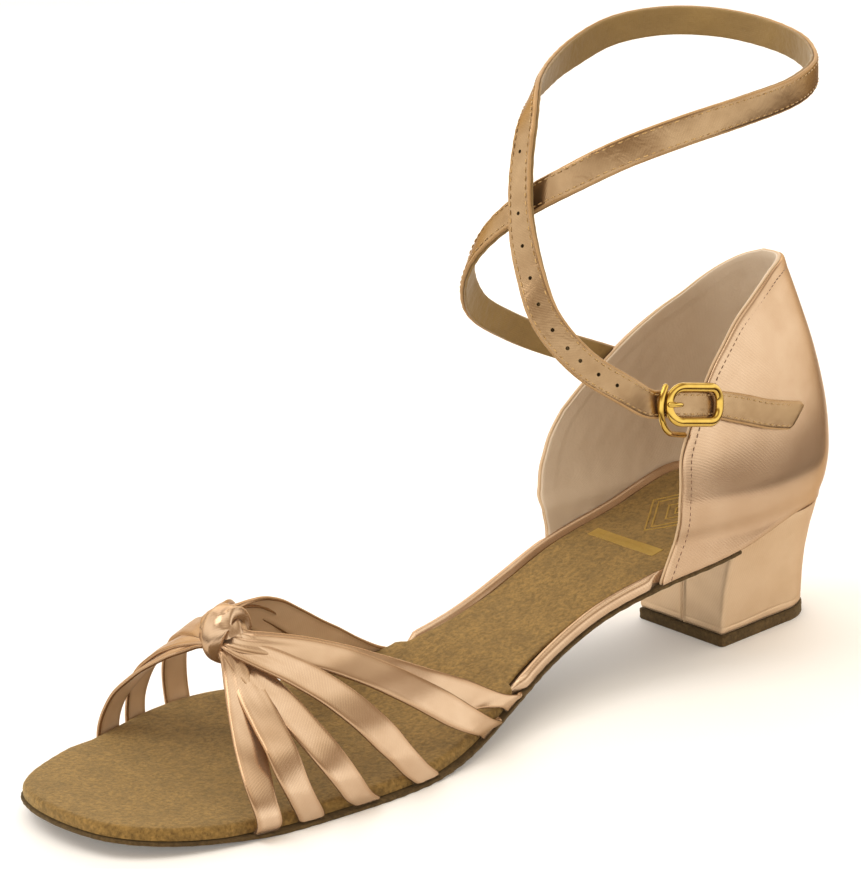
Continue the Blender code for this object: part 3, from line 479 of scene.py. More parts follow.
def makeSatin(name="polyester satin", light=satinCloth["light"], deep=satinCloth["deep"], crinkle=0.0,
              roughness=satinCloth["roughness"], metallic=satinCloth["metallic"]):
    # long floats of a satin weave: a soft broad gloss with fine slanting twill lines
    material, tree, shader = newMaterial(
        name, roughness, metallic, Sheen_Weight=0.1, Sheen_Roughness=0.4,
        Sheen_Tint=toLinear(satinCloth["sheen"]), Specular_Tint=toLinear(satinCloth["grazing"]))
    place = clothPlace(tree)
    turned = addNode(tree, "ShaderNodeMapping", None, {
        "Vector": place, "Rotation": (0.0, 0.0, satinCloth["slant"])}).outputs["Vector"]
    threads = waves(tree, turned, "X", satinCloth["pitch"],
                    **{"Distortion": 1.2, "Detail": 2.0, "Detail Scale": 2.5})
    solid = solidPlace(tree)
    clouds = ranged(tree, noise(tree, solid, scale=95.0, detail=4.0, roughness=0.6),
                    low=0.35, high=0.72, toHigh=0.55)
    base = mixed(tree, clouds, toLinear(light), toLinear(deep))
    lines = mixed(tree, satinCloth["weave"], base, threads.outputs["Color"], "MULTIPLY")
    # painted shade: the colour darkens to the edge colour towards a cloth's edges, where the edge attribute
    # rises; worn here means that painted shade, not wear
    rim = addNode(tree, "ShaderNodeAttribute", {"attribute_name": "edge"}).outputs["Fac"]
    worn = ranged(tree, rim, low=0.0, high=1.0, toHigh=0.5)
    colour = mixed(tree, worn, lines, toLinear(satinCloth["edge"]))
    height = addNode(tree, "ShaderNodeMath", {"operation": "MULTIPLY_ADD"}, {
        0: noise(tree, solid, scale=1900.0, detail=2.0), 1: 0.5, 2: threads.outputs["Fac"]}).outputs[0]
    normal = raised(tree, height, strength=0.15, distance=0.04)
    if crinkle:
        creases = noise(tree, solid, scale=210.0, detail=2.0, roughness=0.65, distortion=1.2)
        normal = raised(tree, creases, strength=0.8, distance=crinkle, normal=normal)
    return finished(material, tree, shader, colour, normal)


def makeSuede(name, light, deep, dark, sheen=0.35):
    # buffed leather: a short nap that mottles light and dark and has no gloss
    material, tree, shader = newMaterial(
        name, 0.95, Sheen_Weight=sheen, Sheen_Roughness=0.6, Specular_IOR_Level=0.15,
        Sheen_Tint=toLinear("#E8D7A8"))
    solid = solidPlace(tree)
    fibres = noise(tree, solid, scale=900.0, detail=5.0, roughness=0.72)
    strokes = noise(tree, solid, scale=130.0, detail=4.0, roughness=0.6, distortion=0.6)
    base = mixed(tree, ranged(tree, fibres, low=0.36, high=0.64), toLinear(deep), toLinear(light))
    colour = mixed(tree, ranged(tree, strokes, low=0.42, high=0.72, toHigh=0.45), base, toLinear(dark))
    return finished(material, tree, shader, colour, raised(tree, fibres, strength=0.7, distance=0.3))


def makeLining(name, light, deep, wrinkle=0.4):
    # a plain dull lining cloth: a square weave with faint soft wrinkles
    material, tree, shader = newMaterial(name, 0.62, Sheen_Weight=0.2)
    place = clothPlace(tree)
    solid = solidPlace(tree)
    warp, weft = (waves(tree, place, way, 0.5, Distortion=0.6).outputs["Fac"] for way in "XY")
    clouds = noise(tree, solid, scale=60.0, detail=5.0, roughness=0.6)
    colour = mixed(tree, clouds, toLinear(deep), toLinear(light))
    weave = addNode(tree, "ShaderNodeMath", {"operation": "ADD"}, {0: warp, 1: weft}).outputs[0]
    fine = raised(tree, weave, strength=0.3, distance=0.05)
    normal = raised(tree, clouds, strength=wrinkle, distance=2.0, normal=fine)
    return finished(material, tree, shader, colour, normal)


def makeGold(name, colour, roughness, worn=0.05):
    # plated zinc, polished: sharp reflections with faint hairline wear
    material, tree, shader = newMaterial(name, roughness, 1.0)
    rub = noise(tree, solidPlace(tree), scale=420.0, detail=6.0, roughness=0.7)
    gloss = ranged(tree, rub, low=0.3, high=0.8, toLow=roughness - worn, toHigh=roughness + worn)
    tree.links.new(gloss, shader.inputs["Roughness"])
    base = mixed(tree, rub, toLinear(colour), toLinear("#D9BC66"))
    return finished(material, tree, shader, base, raised(tree, rub, strength=0.06, distance=0.2))


def makeThread(name, light, deep):
    # twisted polyester sewing thread: a slight gloss broken by the twist
    material, tree, shader = newMaterial(name, 0.5, Sheen_Weight=0.3)
    solid = solidPlace(tree)
    twist = waves(tree, solid, "DIAGONAL", 0.35).outputs["Fac"]
    colour = mixed(tree, twist, toLinear(deep), toLinear(light))
    return finished(material, tree, shader, colour, raised(tree, twist, strength=0.5, distance=0.08))


# sole
sole = {
    "outsoleThick": 1.0,
    "insoleFloor": 2.2,      # the board inside the raised rim
    "sockTop": 4.2,
    "sockFloor": 3.1,        # top of the sock inside the rim
    "start": -1.0,           # a layer from here on runs round the heel's tip
    "outsoleStart": 43.7,    # the outsole butts against the heel breast
    "counterTurn": (67.9, 71.0),
    "climb": (92.0, 112.0),  # the sock climbs from inside the rim to the forepart's level
    "rimEnd": (114.0, 117.0),
    "wrapStart": (119.0, 121.0),
    "toeTurn": (205.0, 212.0),
    "sockInset": 4.2,
    "wrapInset": 1.8,
    "toeInset": 0.6,
    "sockWidth": 44.0,       # under the heel
}
insoleBase = sole["outsoleThick"] + seamGap
# outline of the sole: distance from the heel, outer half, inner half
outlineTips = ((-0.1, 1.7), (239.1, -1.0))
outlineRows = (
    (2.0, 12.0, -9.7), (10.0, 20.3, -20.7), (20.0, 24.2, -24.7), (34.0, 26.6, -24.7),
    (50.0, 26.2, -23.6), (68.0, 22.6, -23.0), (86.0, 19.5, -21.0), (104.0, 21.8, -20.1),
    (120.0, 27.1, -23.1), (135.0, 32.6, -29.4), (150.0, 36.8, -37.2), (165.0, 38.6, -43.4),
    (180.0, 38.4, -43.5), (195.0, 37.3, -39.4), (210.0, 34.6, -33.5), (222.0, 30.6, -27.0),
    (231.0, 24.6, -20.3), (236.5, 16.5, -13.5),
)
undersideRows = (
    (-2.0, 32.4), (20.0, 32.4), (45.0, 27.5), (70.0, 22.3), (95.0, 14.5), (120.0, 6.9),
    (145.0, 1.0), (158.0, 0.0), (196.0, 0.0), (215.0, 1.4), (241.0, 4.6),
)


def underside(station):
    return lookup(undersideRows, station)


def makeOutline():
    # closed curve of the sole's edge with its inward directions, from the heel's tip round
    outer = [outlineTips[0]] + [(row[0], row[1]) for row in outlineRows] + [outlineTips[1]]
    inner = [(row[0], row[2]) for row in reversed(outlineRows)]
    loop = outer + inner
    wrap = 3
    curve = spline(loop[-wrap:] + loop + loop[:wrap + 1], 40)[wrap * 40:-wrap * 40]
    along = unit(np.gradient(curve, axis=0))
    inward = np.stack([along[:, 1], -along[:, 0]], axis=1)
    toe = int(np.argmax(curve[:, 0]))
    return {1: (curve[:toe + 1], inward[:toe + 1]), -1: (curve[toe:][::-1], inward[toe:][::-1])}


outline = makeOutline()


def outlineY(station, side, inset):
    curve, inward = outline[side]
    moved = curve + inward * inset
    return np.interp(station, moved[:, 0], moved[:, 1])


def soleHalf(side, start, count):
    # points along one side of the sole from a station to the toe, with inward directions
    curve, inward = outline[side]
    run = travel(curve)
    begin = np.interp(start, curve[:, 0], run) if start > curve[0, 0] else 0.0
    at = begin + (run[-1] - begin) * np.linspace(0.0, 1.0, count)
    both = np.hstack([curve, inward])
    return np.stack([np.interp(at, run, both[:, k]) for k in range(4)], axis=1)


def soleLayer(levels, start, count, columns=2, relief=None, fray=0.0):
    # a layer of the sole from (inset, height) loops, bottom to top, both by station
    outer, inner = soleHalf(1, start, count), soleHalf(-1, start, count)
    tipped = start <= outlineTips[0][0]
    loop = np.vstack([outer, inner[-2:0 if tipped else None:-1]])
    stations = loop[:, 0]
    run = travel(loop[:, :2])
    rings, uvs = [], []
    rise = 0.0
    for index, (inset, height) in enumerate(levels):
        wobble = fray * (np.sin(stations * 2.9) * np.sin(stations * 1.3 + 2.0)
                         + 0.6 * np.sin(stations * 7.1 + loop[:, 1]))
        moved = loop[:, :2] + loop[:, 2:] * (inset(stations) + wobble)[:, None]
        rings.append(np.column_stack([moved, underside(moved[:, 0]) + height(stations)]))
        if index:
            rise += float(np.mean(np.linalg.norm(rings[-1] - rings[-2], axis=1)))
        uvs.append(np.column_stack([run, np.full(len(run), rise)]))
    size = len(loop)
    points = [np.concatenate(rings)]
    uv = [np.concatenate(uvs)]
    faces = ringFaces(len(rings), size)
    # the loop runs up the outer side and back down the inner; each row joins equal places
    top = (len(rings) - 1) * size
    firstRow = 1 if tipped else 0
    rows = [(k, size - k if tipped else size - 1 - k) for k in range(firstRow, count - 1)]
    for base, cover in ((0, None), (top, relief)):
        grid = []
        ringPoints = rings[0] if base == 0 else rings[-1]
        across = 2 if base == 0 else columns
        for left, right in rows:
            line = [base + left]
            for c in range(1, across - 1):
                share = c / (across - 1)
                point = ringPoints[left] * (1 - share) + ringPoints[right] * share
                if cover is not None:
                    point = point + (0.0, 0.0, cover(point[0], share))
                line.append(sum(len(p) for p in points))
                points.append(point[None])
                uv.append(point[None, :2])
            line.append(base + right)
            grid.append(line)
        for before, after in zip(grid, grid[1:]):
            for c in range(across - 1):
                faces.append((before[c], before[c + 1], after[c + 1], after[c]))
        faces.append(tuple(grid[-1]) + (base + count - 1,))
        if tipped:
            faces.append(tuple(grid[0][::-1]) + (base,))
    return np.concatenate(points), faces, np.concatenate(uv)


def steady(value):
    return lambda station: np.full(np.shape(station), float(value))


def between(turn, before, after):
    return lambda station: np.interp(station, turn, (before, after))


# edge of the outsole, bottom to top: inset and height
outsoleEdge = ((0.6, 0.0), (0.2, 0.06), (0.02, 0.3), (0.0, 0.6),
               (0.05, sole["outsoleThick"] - 0.12), (0.4, sole["outsoleThick"]))


def buildOutsole(material):
    print("outsole")
    levels = [(steady(inset), steady(height)) for inset, height in outsoleEdge]
    points, faces, uv = soleLayer(levels, sole["outsoleStart"], 200, fray=0.09)
    makePiece("outsole_suede_sole", points, faces, [material], uv,
              replaced=["outsole"], slot="outsole_suede")


# edge of the board, bottom to top: inset and height in the waist, the same in the forepart
insoleEdge = (
    (0.8, 1.3, 3.2, 1.3), (0.48, 1.42, 2.95, 1.45), (0.4, 1.75, 2.9, 1.7), (0.4, 2.4, 2.9, 2.2),
    (0.42, 2.95, 2.9, 2.6), (0.5, 3.35, 2.9, 2.75), (0.66, 3.72, 2.95, 2.85),
    (0.92, 4.05, 3.1, 2.95), (1.3, 4.3, 3.2, 3.0), (1.75, 4.43, 3.35, 3.06),
    (2.25, 4.42, 3.5, 3.1), (2.75, 4.22, 3.65, 3.1), (3.15, 3.8, 3.8, 3.1),
    (3.45, 3.1, 4.0, 3.1), (3.9, 2.2, 4.2, 3.1),
)


def buildInsole(material):
    print("satin rim")
    covered = counterLook["inset"] + counterLook["wall"] + seamGap
    turns = (*sole["counterTurn"], *sole["rimEnd"])
    levels = []
    for inset, height, foreInset, foreHeight in insoleEdge:
        hidden = max(inset, covered)
        turn = sole["climb"] if height == sole["insoleFloor"] else sole["rimEnd"]
        levels.append((lambda x, a=hidden, b=inset, c=foreInset: np.interp(x, turns, (a, b, b, c)),
                       between(turn, height, foreHeight)))
    points, faces, uv = soleLayer(levels, sole["start"], 220)
    makePiece("satin_rim", points, faces, [material], uv, replaced=["insole"], slot="satin")


# edge of the sock, from under it round to its top: move outwards and drop, waist then forepart
sockEdge = (
    (0.8, 0.6, 0.8, 0.8), (0.75, 0.6, 0.75, 2.9), (0.0, 0.6, 0.0, 2.9), (0.0, 0.35, 0.0, 1.6),
    (0.05, 0.2, 0.12, 0.9), (0.15, 0.08, 0.4, 0.42), (0.3, 0.02, 0.8, 0.12), (0.5, 0.0, 1.3, 0.0),
)


def sockTop(station):
    return np.interp(station, sole["climb"], (sole["sockFloor"], sole["sockTop"]))


def sockInset(station):
    turns = (sole["wrapStart"][0] - 2.0, sole["wrapStart"][0], *sole["toeTurn"])
    return np.interp(station, turns, (sole["sockInset"], sole["wrapInset"], sole["wrapInset"],
                                      sole["toeInset"]))


# hollows that the heel and the ball of a foot leave: place, half length, depth
sockHollows = ((28.0, 26.0, 0.45), (172.0, 30.0, 0.55))


def sockRelief(station, share):
    # trodden hollows, faintly uneven, that fade out at the sock's sides
    middle = 4.0 * share * (1.0 - share)
    trodden = sum(depth * bump(station, place, reach) for place, reach, depth in sockHollows)
    return middle * (0.06 * math.sin(station * 0.9 + share * 11.0) - trodden)


def buildSock(material):
    print("sock")
    levels = []
    for move, drop, foreMove, foreDrop in sockEdge:
        step = between(sole["wrapStart"], move, foreMove)
        fall = between(sole["wrapStart"], drop, foreDrop)
        levels.append((lambda x, step=step: sockInset(x) + step(x),
                       lambda x, fall=fall: sockTop(x) - fall(x)))
    points, faces, uv = soleLayer(levels, sole["start"], 230, 26, sockRelief, 0.035)
    makePiece("suede_sock", points, faces, [material], uv, replaced=["sock"], slot="sock_suede")


# heel block and top lift: height, back, back radius, breast, half width at breast, middle
heelRows = (
    (0.0, 4.4, 13.0, 43.2, 15.6, 2.6),
    (8.0, 4.2, 14.2, 43.0, 16.3, 2.4),
    (17.0, 3.6, 16.4, 42.8, 18.0, 2.0),
    (25.0, 2.4, 19.4, 43.0, 20.8, 1.6),
    (33.0, 0.7, 23.2, 43.3, 24.9, 1.2),
)
heelLook = {
    "liftThick": 3.0,
    "liftEdge": 0.3,
    "seam": 3.4,          # the cover's two ends meet in a seam on the breast
    "seamSlant": 0.02,
    "tuck": 2.0,          # height of the turned-in fold over the top lift
    "tuckDepth": (0.05, 0.16),    # on the breast and elsewhere
    "footIn": 0.35,
    "uneven": 0.04,
    "worn": 0.025,        # unevenness of the top lift's edge
}
# the seam's two turned-in edges and the gap between them: place beside the seam, half width, height
heelSeam = ((-0.55, 0.5, 0.22), (0.6, 0.55, 0.3), (0.0, 0.2, -0.5))
# edge of the top lift, bottom to top: height and how far it stands past the lift's outline
liftEdge = ((0.0, -0.5), (0.06, -0.15), (0.3, 0.02), (0.7, 0.0), (1.4, -0.04), (2.1, 0.03),
            (2.7, 0.0), (2.92, -0.1), (3.0, -0.35))


def heelLayout():
    # shares of breast, back and radius that give each point of the D round the heel
    breast = np.concatenate([np.linspace(-0.94, -0.1, 13), np.linspace(-0.05, 0.25, 31),
                             np.linspace(0.3, 0.94, 11)])
    side = np.linspace(0.05, 0.96, 22)
    arc = np.radians(np.linspace(90.0, -90.0, 75))
    rows = [(1.0, 0.0, 0.0, s, 0.0, 0.0) for s in breast]
    rows.append((1.0, 0.0, 0.0, 1.0, 0.0, -0.28))
    rows += [(1.0 - t, t, 0.0, 1.0 - t, t, 0.0) for t in side]
    rows += [(0.0, 1.0, -math.cos(a), 0.0, math.sin(a), 0.0) for a in arc]
    rows += [(1.0 - t, t, 0.0, -(1.0 - t), -t, 0.0) for t in side[::-1]]
    rows.append((1.0, 0.0, 0.0, -1.0, 0.0, 0.28))
    return np.array(rows)


heelPlan = heelLayout()


def heelSection(height, grow=0.0):
    height = np.broadcast_to(height, (len(heelPlan),))
    back = lookup(heelRows, height, 1) - grow
    radius = lookup(heelRows, height, 2) + grow
    breast = lookup(heelRows, height, 3) + grow
    half = lookup(heelRows, height, 4) + grow
    middle = lookup(heelRows, height, 5)
    x = heelPlan[:, 0] * breast + heelPlan[:, 1] * (back + radius) + heelPlan[:, 2] * radius
    y = middle + heelPlan[:, 3] * half + heelPlan[:, 4] * radius + heelPlan[:, 5]
    x = x - abs(heelPlan[:, 5])
    return x, y


def heelRelief(x, y, z, base):
    onBreast = heelPlan[:, 0] > 0.999
    seamY = heelLook["seam"] + heelLook["seamSlant"] * (z - 15.0)
    seam = sum(height * bump(y, seamY + beside, reach) for beside, reach, height in heelSeam)
    tuckAt = base + heelLook["tuck"] - 0.25 * np.sin(x * 0.21)
    tuck = np.where(onBreast, *heelLook["tuckDepth"]) * bump(z, tuckAt, 0.22)
    foot = heelLook["footIn"] * (1.0 - ease(z, base - 0.1, base + 0.8))
    uneven = heelLook["uneven"] * np.sin(z * 0.8 + y * 0.35) * np.sin(x * 0.4)
    return np.where(onBreast, seam, 0.0) - tuck - foot + uneven


def buildHeel(material):
    print("heel")
    base = heelLook["liftThick"] + seamGap
    firstGuess = 28.0     # height of the heel, which its slanted top then corrects
    rings, uvs = [], []
    for level in np.concatenate([np.linspace(0.0, 0.16, 20), np.linspace(0.19, 1.0, 34)]):
        z = np.full(len(heelPlan), base + level * (firstGuess - base))
        for _ in range(4):
            x, y = heelSection(z)
            z = base + level * (underside(x) + sole["outsoleThick"] - base)
        out = unit(np.column_stack([np.gradient(y), -np.gradient(x)]))
        fromMiddle = np.column_stack([x - x.mean(), y - y.mean()])
        out *= np.sign(np.sum(out * fromMiddle, axis=1))[:, None]
        relief = heelRelief(x, y, z, base)
        rings.append(np.column_stack([x + out[:, 0] * relief, y + out[:, 1] * relief, z]))
        uvs.append(np.column_stack([travel(rings[-1][:, :2]), z]))
    points, faces = stacked(rings)
    makePiece("satin_heel", points, faces, [material], np.concatenate(uvs),
              replaced=["heel_block"], slot="satin", sharp=60.0)


def buildTopLift(material):
    rings, uvs = [], []
    for height, past in liftEdge:
        x, y = heelSection(heelLook["liftThick"], heelLook["liftEdge"] + past)
        worn = heelLook["worn"] * np.sin(x * 2.3 + y * 1.7 + height * 2.0)
        rings.append(np.column_stack([x + worn, y + worn, np.full(len(x), height)]))
        uvs.append(np.column_stack([travel(np.column_stack([x, y])), np.full(len(x), height)]))
    points, faces = stacked(rings)
    makePiece("suede_top_lift", points, faces, [material], np.concatenate(uvs),
              replaced=["top_lift"], slot="outsole_suede")


# counter
# sections: height, back, width as a share of the seat's outline
counterRows = (
    (20.0, 0.0, 1.00), (33.7, 0.0, 1.00), (39.0, -1.6, 1.07), (47.0, -2.6, 1.12),
    (57.0, -2.0, 1.11), (72.0, 1.0, 1.01), (87.0, 6.0, 0.85), (98.0, 10.0, 0.70),
)
# free edge from the front foot to the middle of the back: station, height
counterEdge = {
    1: ((67.0, 24.7), (65.6, 28.0), (63.2, 33.6), (63.5, 40.4), (63.8, 48.8), (63.2, 57.9),
        (60.3, 64.3), (56.8, 70.1), (51.0, 77.7), (46.4, 82.2), (39.9, 87.8), (33.1, 91.7),
        (26.7, 94.8), (20.9, 97.0), (15.0, 98.0), (9.9, 97.5)),
    -1: ((67.0, 24.7), (67.1, 29.3), (68.2, 35.0), (67.3, 40.5), (65.4, 46.2), (62.7, 52.6),
         (58.3, 58.7), (51.5, 64.4), (42.1, 71.0), (34.4, 75.9), (27.0, 79.8), (19.9, 83.7),
         (15.4, 87.8), (12.4, 91.6), (10.4, 94.8), (9.9, 97.5)),
}
counterLook = {
    "corner": 6,          # row of the edge where the upright front turns into the topline
    "inset": 0.2,         # of the wall's foot from the outline of the sole
    "wall": 1.6,
    "cover": 0.85,        # thickness of the satin cover; the lining makes up the rest
    "seatLength": 90.0, "seatSteps": 220,    # part of the outline that the wall can follow
    "columns": 64, "rows": 46,
    "edgeSteps": 260,
    "stitchIn": 1.9,      # the row of stitches under the folded edge
    "fold": 0.16,         # how far the doubled fold stands out
    "furrow": 0.14,
    "swell": 0.1,
    "hem": 0.28,
    "wrinkle": 0.09,
    "piping": 0.36, "pipingSteps": 420, "pipingSides": 10,
    "pipingOut": (-0.35, -1.0),    # past the edge and out of the wall
}


def heelLine(side):
    # outline of the seat from the middle of the back, closely spaced there
    at = np.linspace(0.0, 1.0, counterLook["seatSteps"]) ** 2 * counterLook["seatLength"]
    back = outlineTips[0][0] + counterLook["inset"]
    y = np.array([outlineY(max(x, back), side, counterLook["inset"]) for x in at])
    at = at + back * (1.0 - ease(at, 0.0, 6.0))
    y[0] = outlineTips[0][1]
    return np.stack([at, y], axis=1)


def makeWall(side):
    line = heelLine(side)
    run = travel(line)
    edge = []
    for station, height in counterEdge[side]:
        seat = (station - lookup(counterRows, height, 1)) / lookup(counterRows, height, 2)
        edge.append((float(np.interp(seat, line[:, 0], run)), height))
    edge[-1] = (0.0, edge[-1][1])
    return {"side": side, "line": line, "run": run, "edge": edge}


def wallFoot(wall, around):
    return (np.interp(around, wall["run"], wall["line"][:, 0]),
            np.interp(around, wall["run"], wall["line"][:, 1]))


def wallPoint(wall, around, height, out=0.0):
    # points of the wall's outer face by distance round from the back seam and height
    around, height = np.broadcast_arrays(np.array(around, float), np.array(height, float))
    x, y = wallFoot(wall, around)
    back, share = lookup(counterRows, height, 1), lookup(counterRows, height, 2)
    middle = outlineTips[0][1]
    reach = 0.5
    x0, y0 = wallFoot(wall, np.maximum(around - reach, 0.0))
    x1, y1 = wallFoot(wall, around + reach)
    direction = unit(np.stack([-(y1 - y0), x1 - x0], axis=-1)) * wall["side"]
    blend = ease(around, 0.0, 1.2)[..., None]
    direction = unit(direction * blend + np.array((-1.0, 0.0)) * (1.0 - blend))
    return np.stack([back + x * share + direction[..., 0] * out,
                     middle + (y - middle) * share + direction[..., 1] * out, height], axis=-1)


def wallAt(wall, station, height):
    back, share = lookup(counterRows, height, 1), lookup(counterRows, height, 2)
    around = np.interp((station - back) / share, wall["line"][:, 0], wall["run"])
    return wallPoint(wall, around, height)


def wallOutward(wall, station, height):
    along = wallAt(wall, station + 1.0, height) - wallAt(wall, station - 1.0, height)
    up = wallAt(wall, station, height + 1.0) - wallAt(wall, station, height - 1.0)
    return unit(np.cross(along, up)) * -wall["side"]


def wallBeside(wall, station, height, out):
    return wallAt(wall, station, height) + wallOutward(wall, station, height) * out


def wallBottom(wall, around):
    return underside(wallFoot(wall, around)[0]) + insoleBase


def wallCurves(wall):
    corner = counterLook["corner"]
    front = spline(wall["edge"][:corner + 1], 30)
    top = spline(wall["edge"][corner:], 30)
    front[0, 1] = wallBottom(wall, wall["edge"][0][0])
    return front, top


def wallGrid(wall):
    # rows of (distance round, height) from the back seam to the free edge
    columns, rows = counterLook["columns"], counterLook["rows"]
    front, top = wallCurves(wall)
    front = resample(front, rows + 1)
    top = resample(top, columns + 1)[::-1]
    end = wall["edge"][0][0]
    backFoot = float(wallBottom(wall, 0.0))
    share = np.linspace(0.0, 1.0, columns + 1)[:, None, None]
    rise = np.linspace(0.0, 1.0, rows + 1)[None, :, None]
    feet = np.stack([share[:, 0, 0] * end, wallBottom(wall, share[:, 0, 0] * end)], axis=-1)[:, None]
    seam = np.stack([0.0 * rise[0, :, 0], backFoot + (top[0, 1] - backFoot) * rise[0, :, 0]], axis=-1)
    across = (1 - share) * seam[None] + share * front[None]
    up = (1 - rise) * feet + rise * top[:, None]
    corners = ((1 - share) * (1 - rise) * np.array((0.0, backFoot)) + share * (1 - rise) * front[0]
               + (1 - share) * rise * top[0] + share * rise * front[-1])
    return across + up - corners


def wholeWall(walls, out):
    # both halves of the wall as one grid, from the inner front round the back to the outer front
    grids = []
    for side in (-1, 1):
        cells = wallGrid(walls[side])
        depth = out(walls[side], cells) if callable(out) else out
        spot = wallPoint(walls[side], cells[..., 0], cells[..., 1], depth)
        grids.append(spot[:0:-1] if side < 0 else spot)
    return np.concatenate(grids)


def edgeLine(wall, count):
    front, top = wallCurves(wall)
    return resample(np.vstack([front, top[1:]]), count)


def edgePath(wall, inset, out):
    # a line on the wall that follows its free edge, moved in from it
    line = edgeLine(wall, counterLook["edgeSteps"])
    along = unit(np.gradient(line, axis=0))
    line = line + np.stack([-along[:, 1], along[:, 0]], axis=1) * inset
    inside = line[line[:, 0] > 0.0]
    return wallPoint(wall, inside[:, 0], inside[:, 1], out)


def edgeRun(walls, inset, out):
    # the same round both halves, from the outer front over the back to the inner front
    return np.vstack([edgePath(walls[1], inset, out), edgePath(walls[-1], inset, out)[::-1][1:]])


def edgeDistance(wall, cells):
    # how far points of the wall lie from its free edge, measured on the cloth
    return np.linalg.norm(cells[..., None, :] - edgeLine(wall, 240), axis=-1).min(axis=-1)


def coverRelief(wall, cells):
    # a doubled fold along the edge, a furrow under the stitches and a little unevenness
    around, height = cells[..., 0], cells[..., 1]
    gap, stitchIn = edgeDistance(wall, cells), counterLook["stitchIn"]
    fold = counterLook["fold"] * (1.0 - ease(gap, stitchIn - 0.2, stitchIn + 1.0))
    furrow = counterLook["furrow"] * bump(gap, stitchIn, 0.45)
    swell = counterLook["swell"] * np.sin(around * 0.23 + height * 0.11) * ease(height, 38.0, 60.0)
    return fold - furrow + swell


def liningRelief(wall, cells):
    # a turned hem under the edge, and soft wrinkles where the lining eases round the heel
    around, height = cells[..., 0], cells[..., 1]
    gap = edgeDistance(wall, cells)
    hem = counterLook["hem"] * (1.0 - ease(gap, 3.6, 4.4))
    wrinkle = counterLook["wrinkle"] * np.sin(around * 0.9 + height * 0.5) * np.sin(height * 0.33 + 1.0)
    return -counterLook["wall"] - hem + wrinkle * ease(gap, 4.0, 9.0)


def buildCounter(walls, satin, lining, piping):
    print("counter")
    under = -counterLook["cover"]
    # the last value of each layer is the strength of the painted shade along its edges
    layers = (("counter_cover", coverRelief, under, satin, 0.3),
              ("counter_lining", under - 0.03, liningRelief, lining, 0.0))
    for name, face, back, material, edgeShade in layers:
        points, faces, uv, edge, _ = closedSheet(wholeWall(walls, face), wholeWall(walls, back))
        makePiece(name, points, faces, [material], uv, edge * edgeShade, replaced=["counter"], slot="satin")
    path = resample(edgeRun(walls, *counterLook["pipingOut"]), counterLook["pipingSteps"])
    points, faces = capped(path, counterLook["piping"], counterLook["pipingSides"],
                           np.array((0.3, 0.1, 1.0)))
    makePiece("counter_piping", points, faces, [piping], points[:, :2], replaced=["counter"], slot="satin")


# vamp strips: side, front and rear place at the sole edge, then the course of the middle line:
# place and height in the neck, reach and fall of the slope, approach, bulge and swell at the sole
stripRows = (
    (1, 205.3, 199.0, 2.4, -2.4, 17.2, -24.0, 1.0, 7.4, 0.3),
    (1, 193.7, 186.5, 2.4, -3.0, 27.5, -22.6, 24.7, 4.8, 23.0),
    (1, 178.4, 170.7, 2.4, -1.2, 34.0, -24.0, 11.1, 9.0, 0.0),
    (1, 160.3, 151.9, 2.4, 0.4, 33.0, -11.5, 6.0, 2.9, 0.0),
    (1, 136.3, 126.1, 2.3, 1.0, 36.9, -7.1, 8.0, 9.0, 0.0),
    (1, 125.3, 116.2, 0.6, 1.3, 21.5, -4.9, 10.2, 5.6, 0.0),
    (-1, 200.4, 192.4, 1.7, -3.4, 18.8, -8.6, 1.4, 1.0, 10.9),
    (-1, 189.4, 182.6, 1.4, -2.5, 18.8, -5.8, 2.4, 2.8, 13.8),
    (-1, 175.6, 168.2, 0.3, -1.2, 20.0, -3.0, 0.0, 4.0, 17.0),
    (-1, 158.5, 150.8, -0.5, 0.6, 15.0, 3.5, 2.0, 1.0, 14.0),
    (-1, 141.0, 133.2, -1.3, 1.8, 16.7, 0.8, 7.9, 0.1, 6.7),
    (-1, 127.5, 118.2, -2.4, 2.4, 16.8, 3.0, 26.0, 9.0, 8.3),
)
# form of the instep under the strips: place, half width, height over the sole
instepRows = ((115.0, 27.0, 78.0), (145.0, 34.0, 60.0), (165.0, 38.0, 48.0), (186.0, 38.0, 38.0),
              (205.0, 36.0, 30.0))
strips = {
    "thick": 1.1,
    "inset": 0.8,         # of a strip's middle from the edge of the sole
    "stand": 1.0,         # upright part of each strip beside the sole edge
    "standOut": 0.1,
    "shoulder": 2.0,      # how far it runs on from the knot before the slope, and its share of the fall
    "shoulderFall": 0.16,
    "bend": 1.6,          # how softly it turns down there
    "rootWidth": 4.4,
    "width": 7.7,
    "spread": 7.0,        # a strip widens by two thirds over this length
    "belly": (8.5, 8.0, 7.5, 5.6, 4.9, 4.9),    # how far each outer strip swells out
    "bellyLow": 1.6,
    "bellyWay": (0.59, 0.75, 0.29),
    "lap": 0.3,          # each strip lies this much over the next where they leave the knot
    "turn": (6.0, 20.0),
    "cornerRadius": 1.1,
    "cornerCut": 0.7,
    "crown": 0.16,
    "pleat": 0.1,
    "ripple": 0.05,
    "rest": 0.35,         # height of a strip's end over the outsole
    "along": 84,
    "across": 13,
}
knot = {
    "place": (186.5, 0.5, 36.2),
    "halfX": 4.6, "halfZ": 5.0,
    "thick": 1.8,
    "root": 3.0, "start": 5.3, "leave": 1.6,
    "steps": 120, "across": 29,
    "rear": (60.0, 95.0),         # degrees between which the side of the ankle begins
    # relief: height, then its middle and width, across the loop or in degrees round it
    "hem": (0.55, 0.72, 0.2),
    "groove": (-0.35, 0.34, 0.16),
    "tuck": (-0.8, 56.0, 12.0),
    "dip": (-1.1, 0.0, 75.0),
    "gatherStep": 6.0,    # degrees between the corners of the gathered ends
}
# the gathered ends inside the loop: place across the shoe and share of the loop's hole
gatherRings = ((-7.4, 0.3), (-6.2, 0.62), (-4.0, 0.86), (0.0, 0.97), (4.0, 0.9), (6.0, 0.72), (7.2, 0.4))


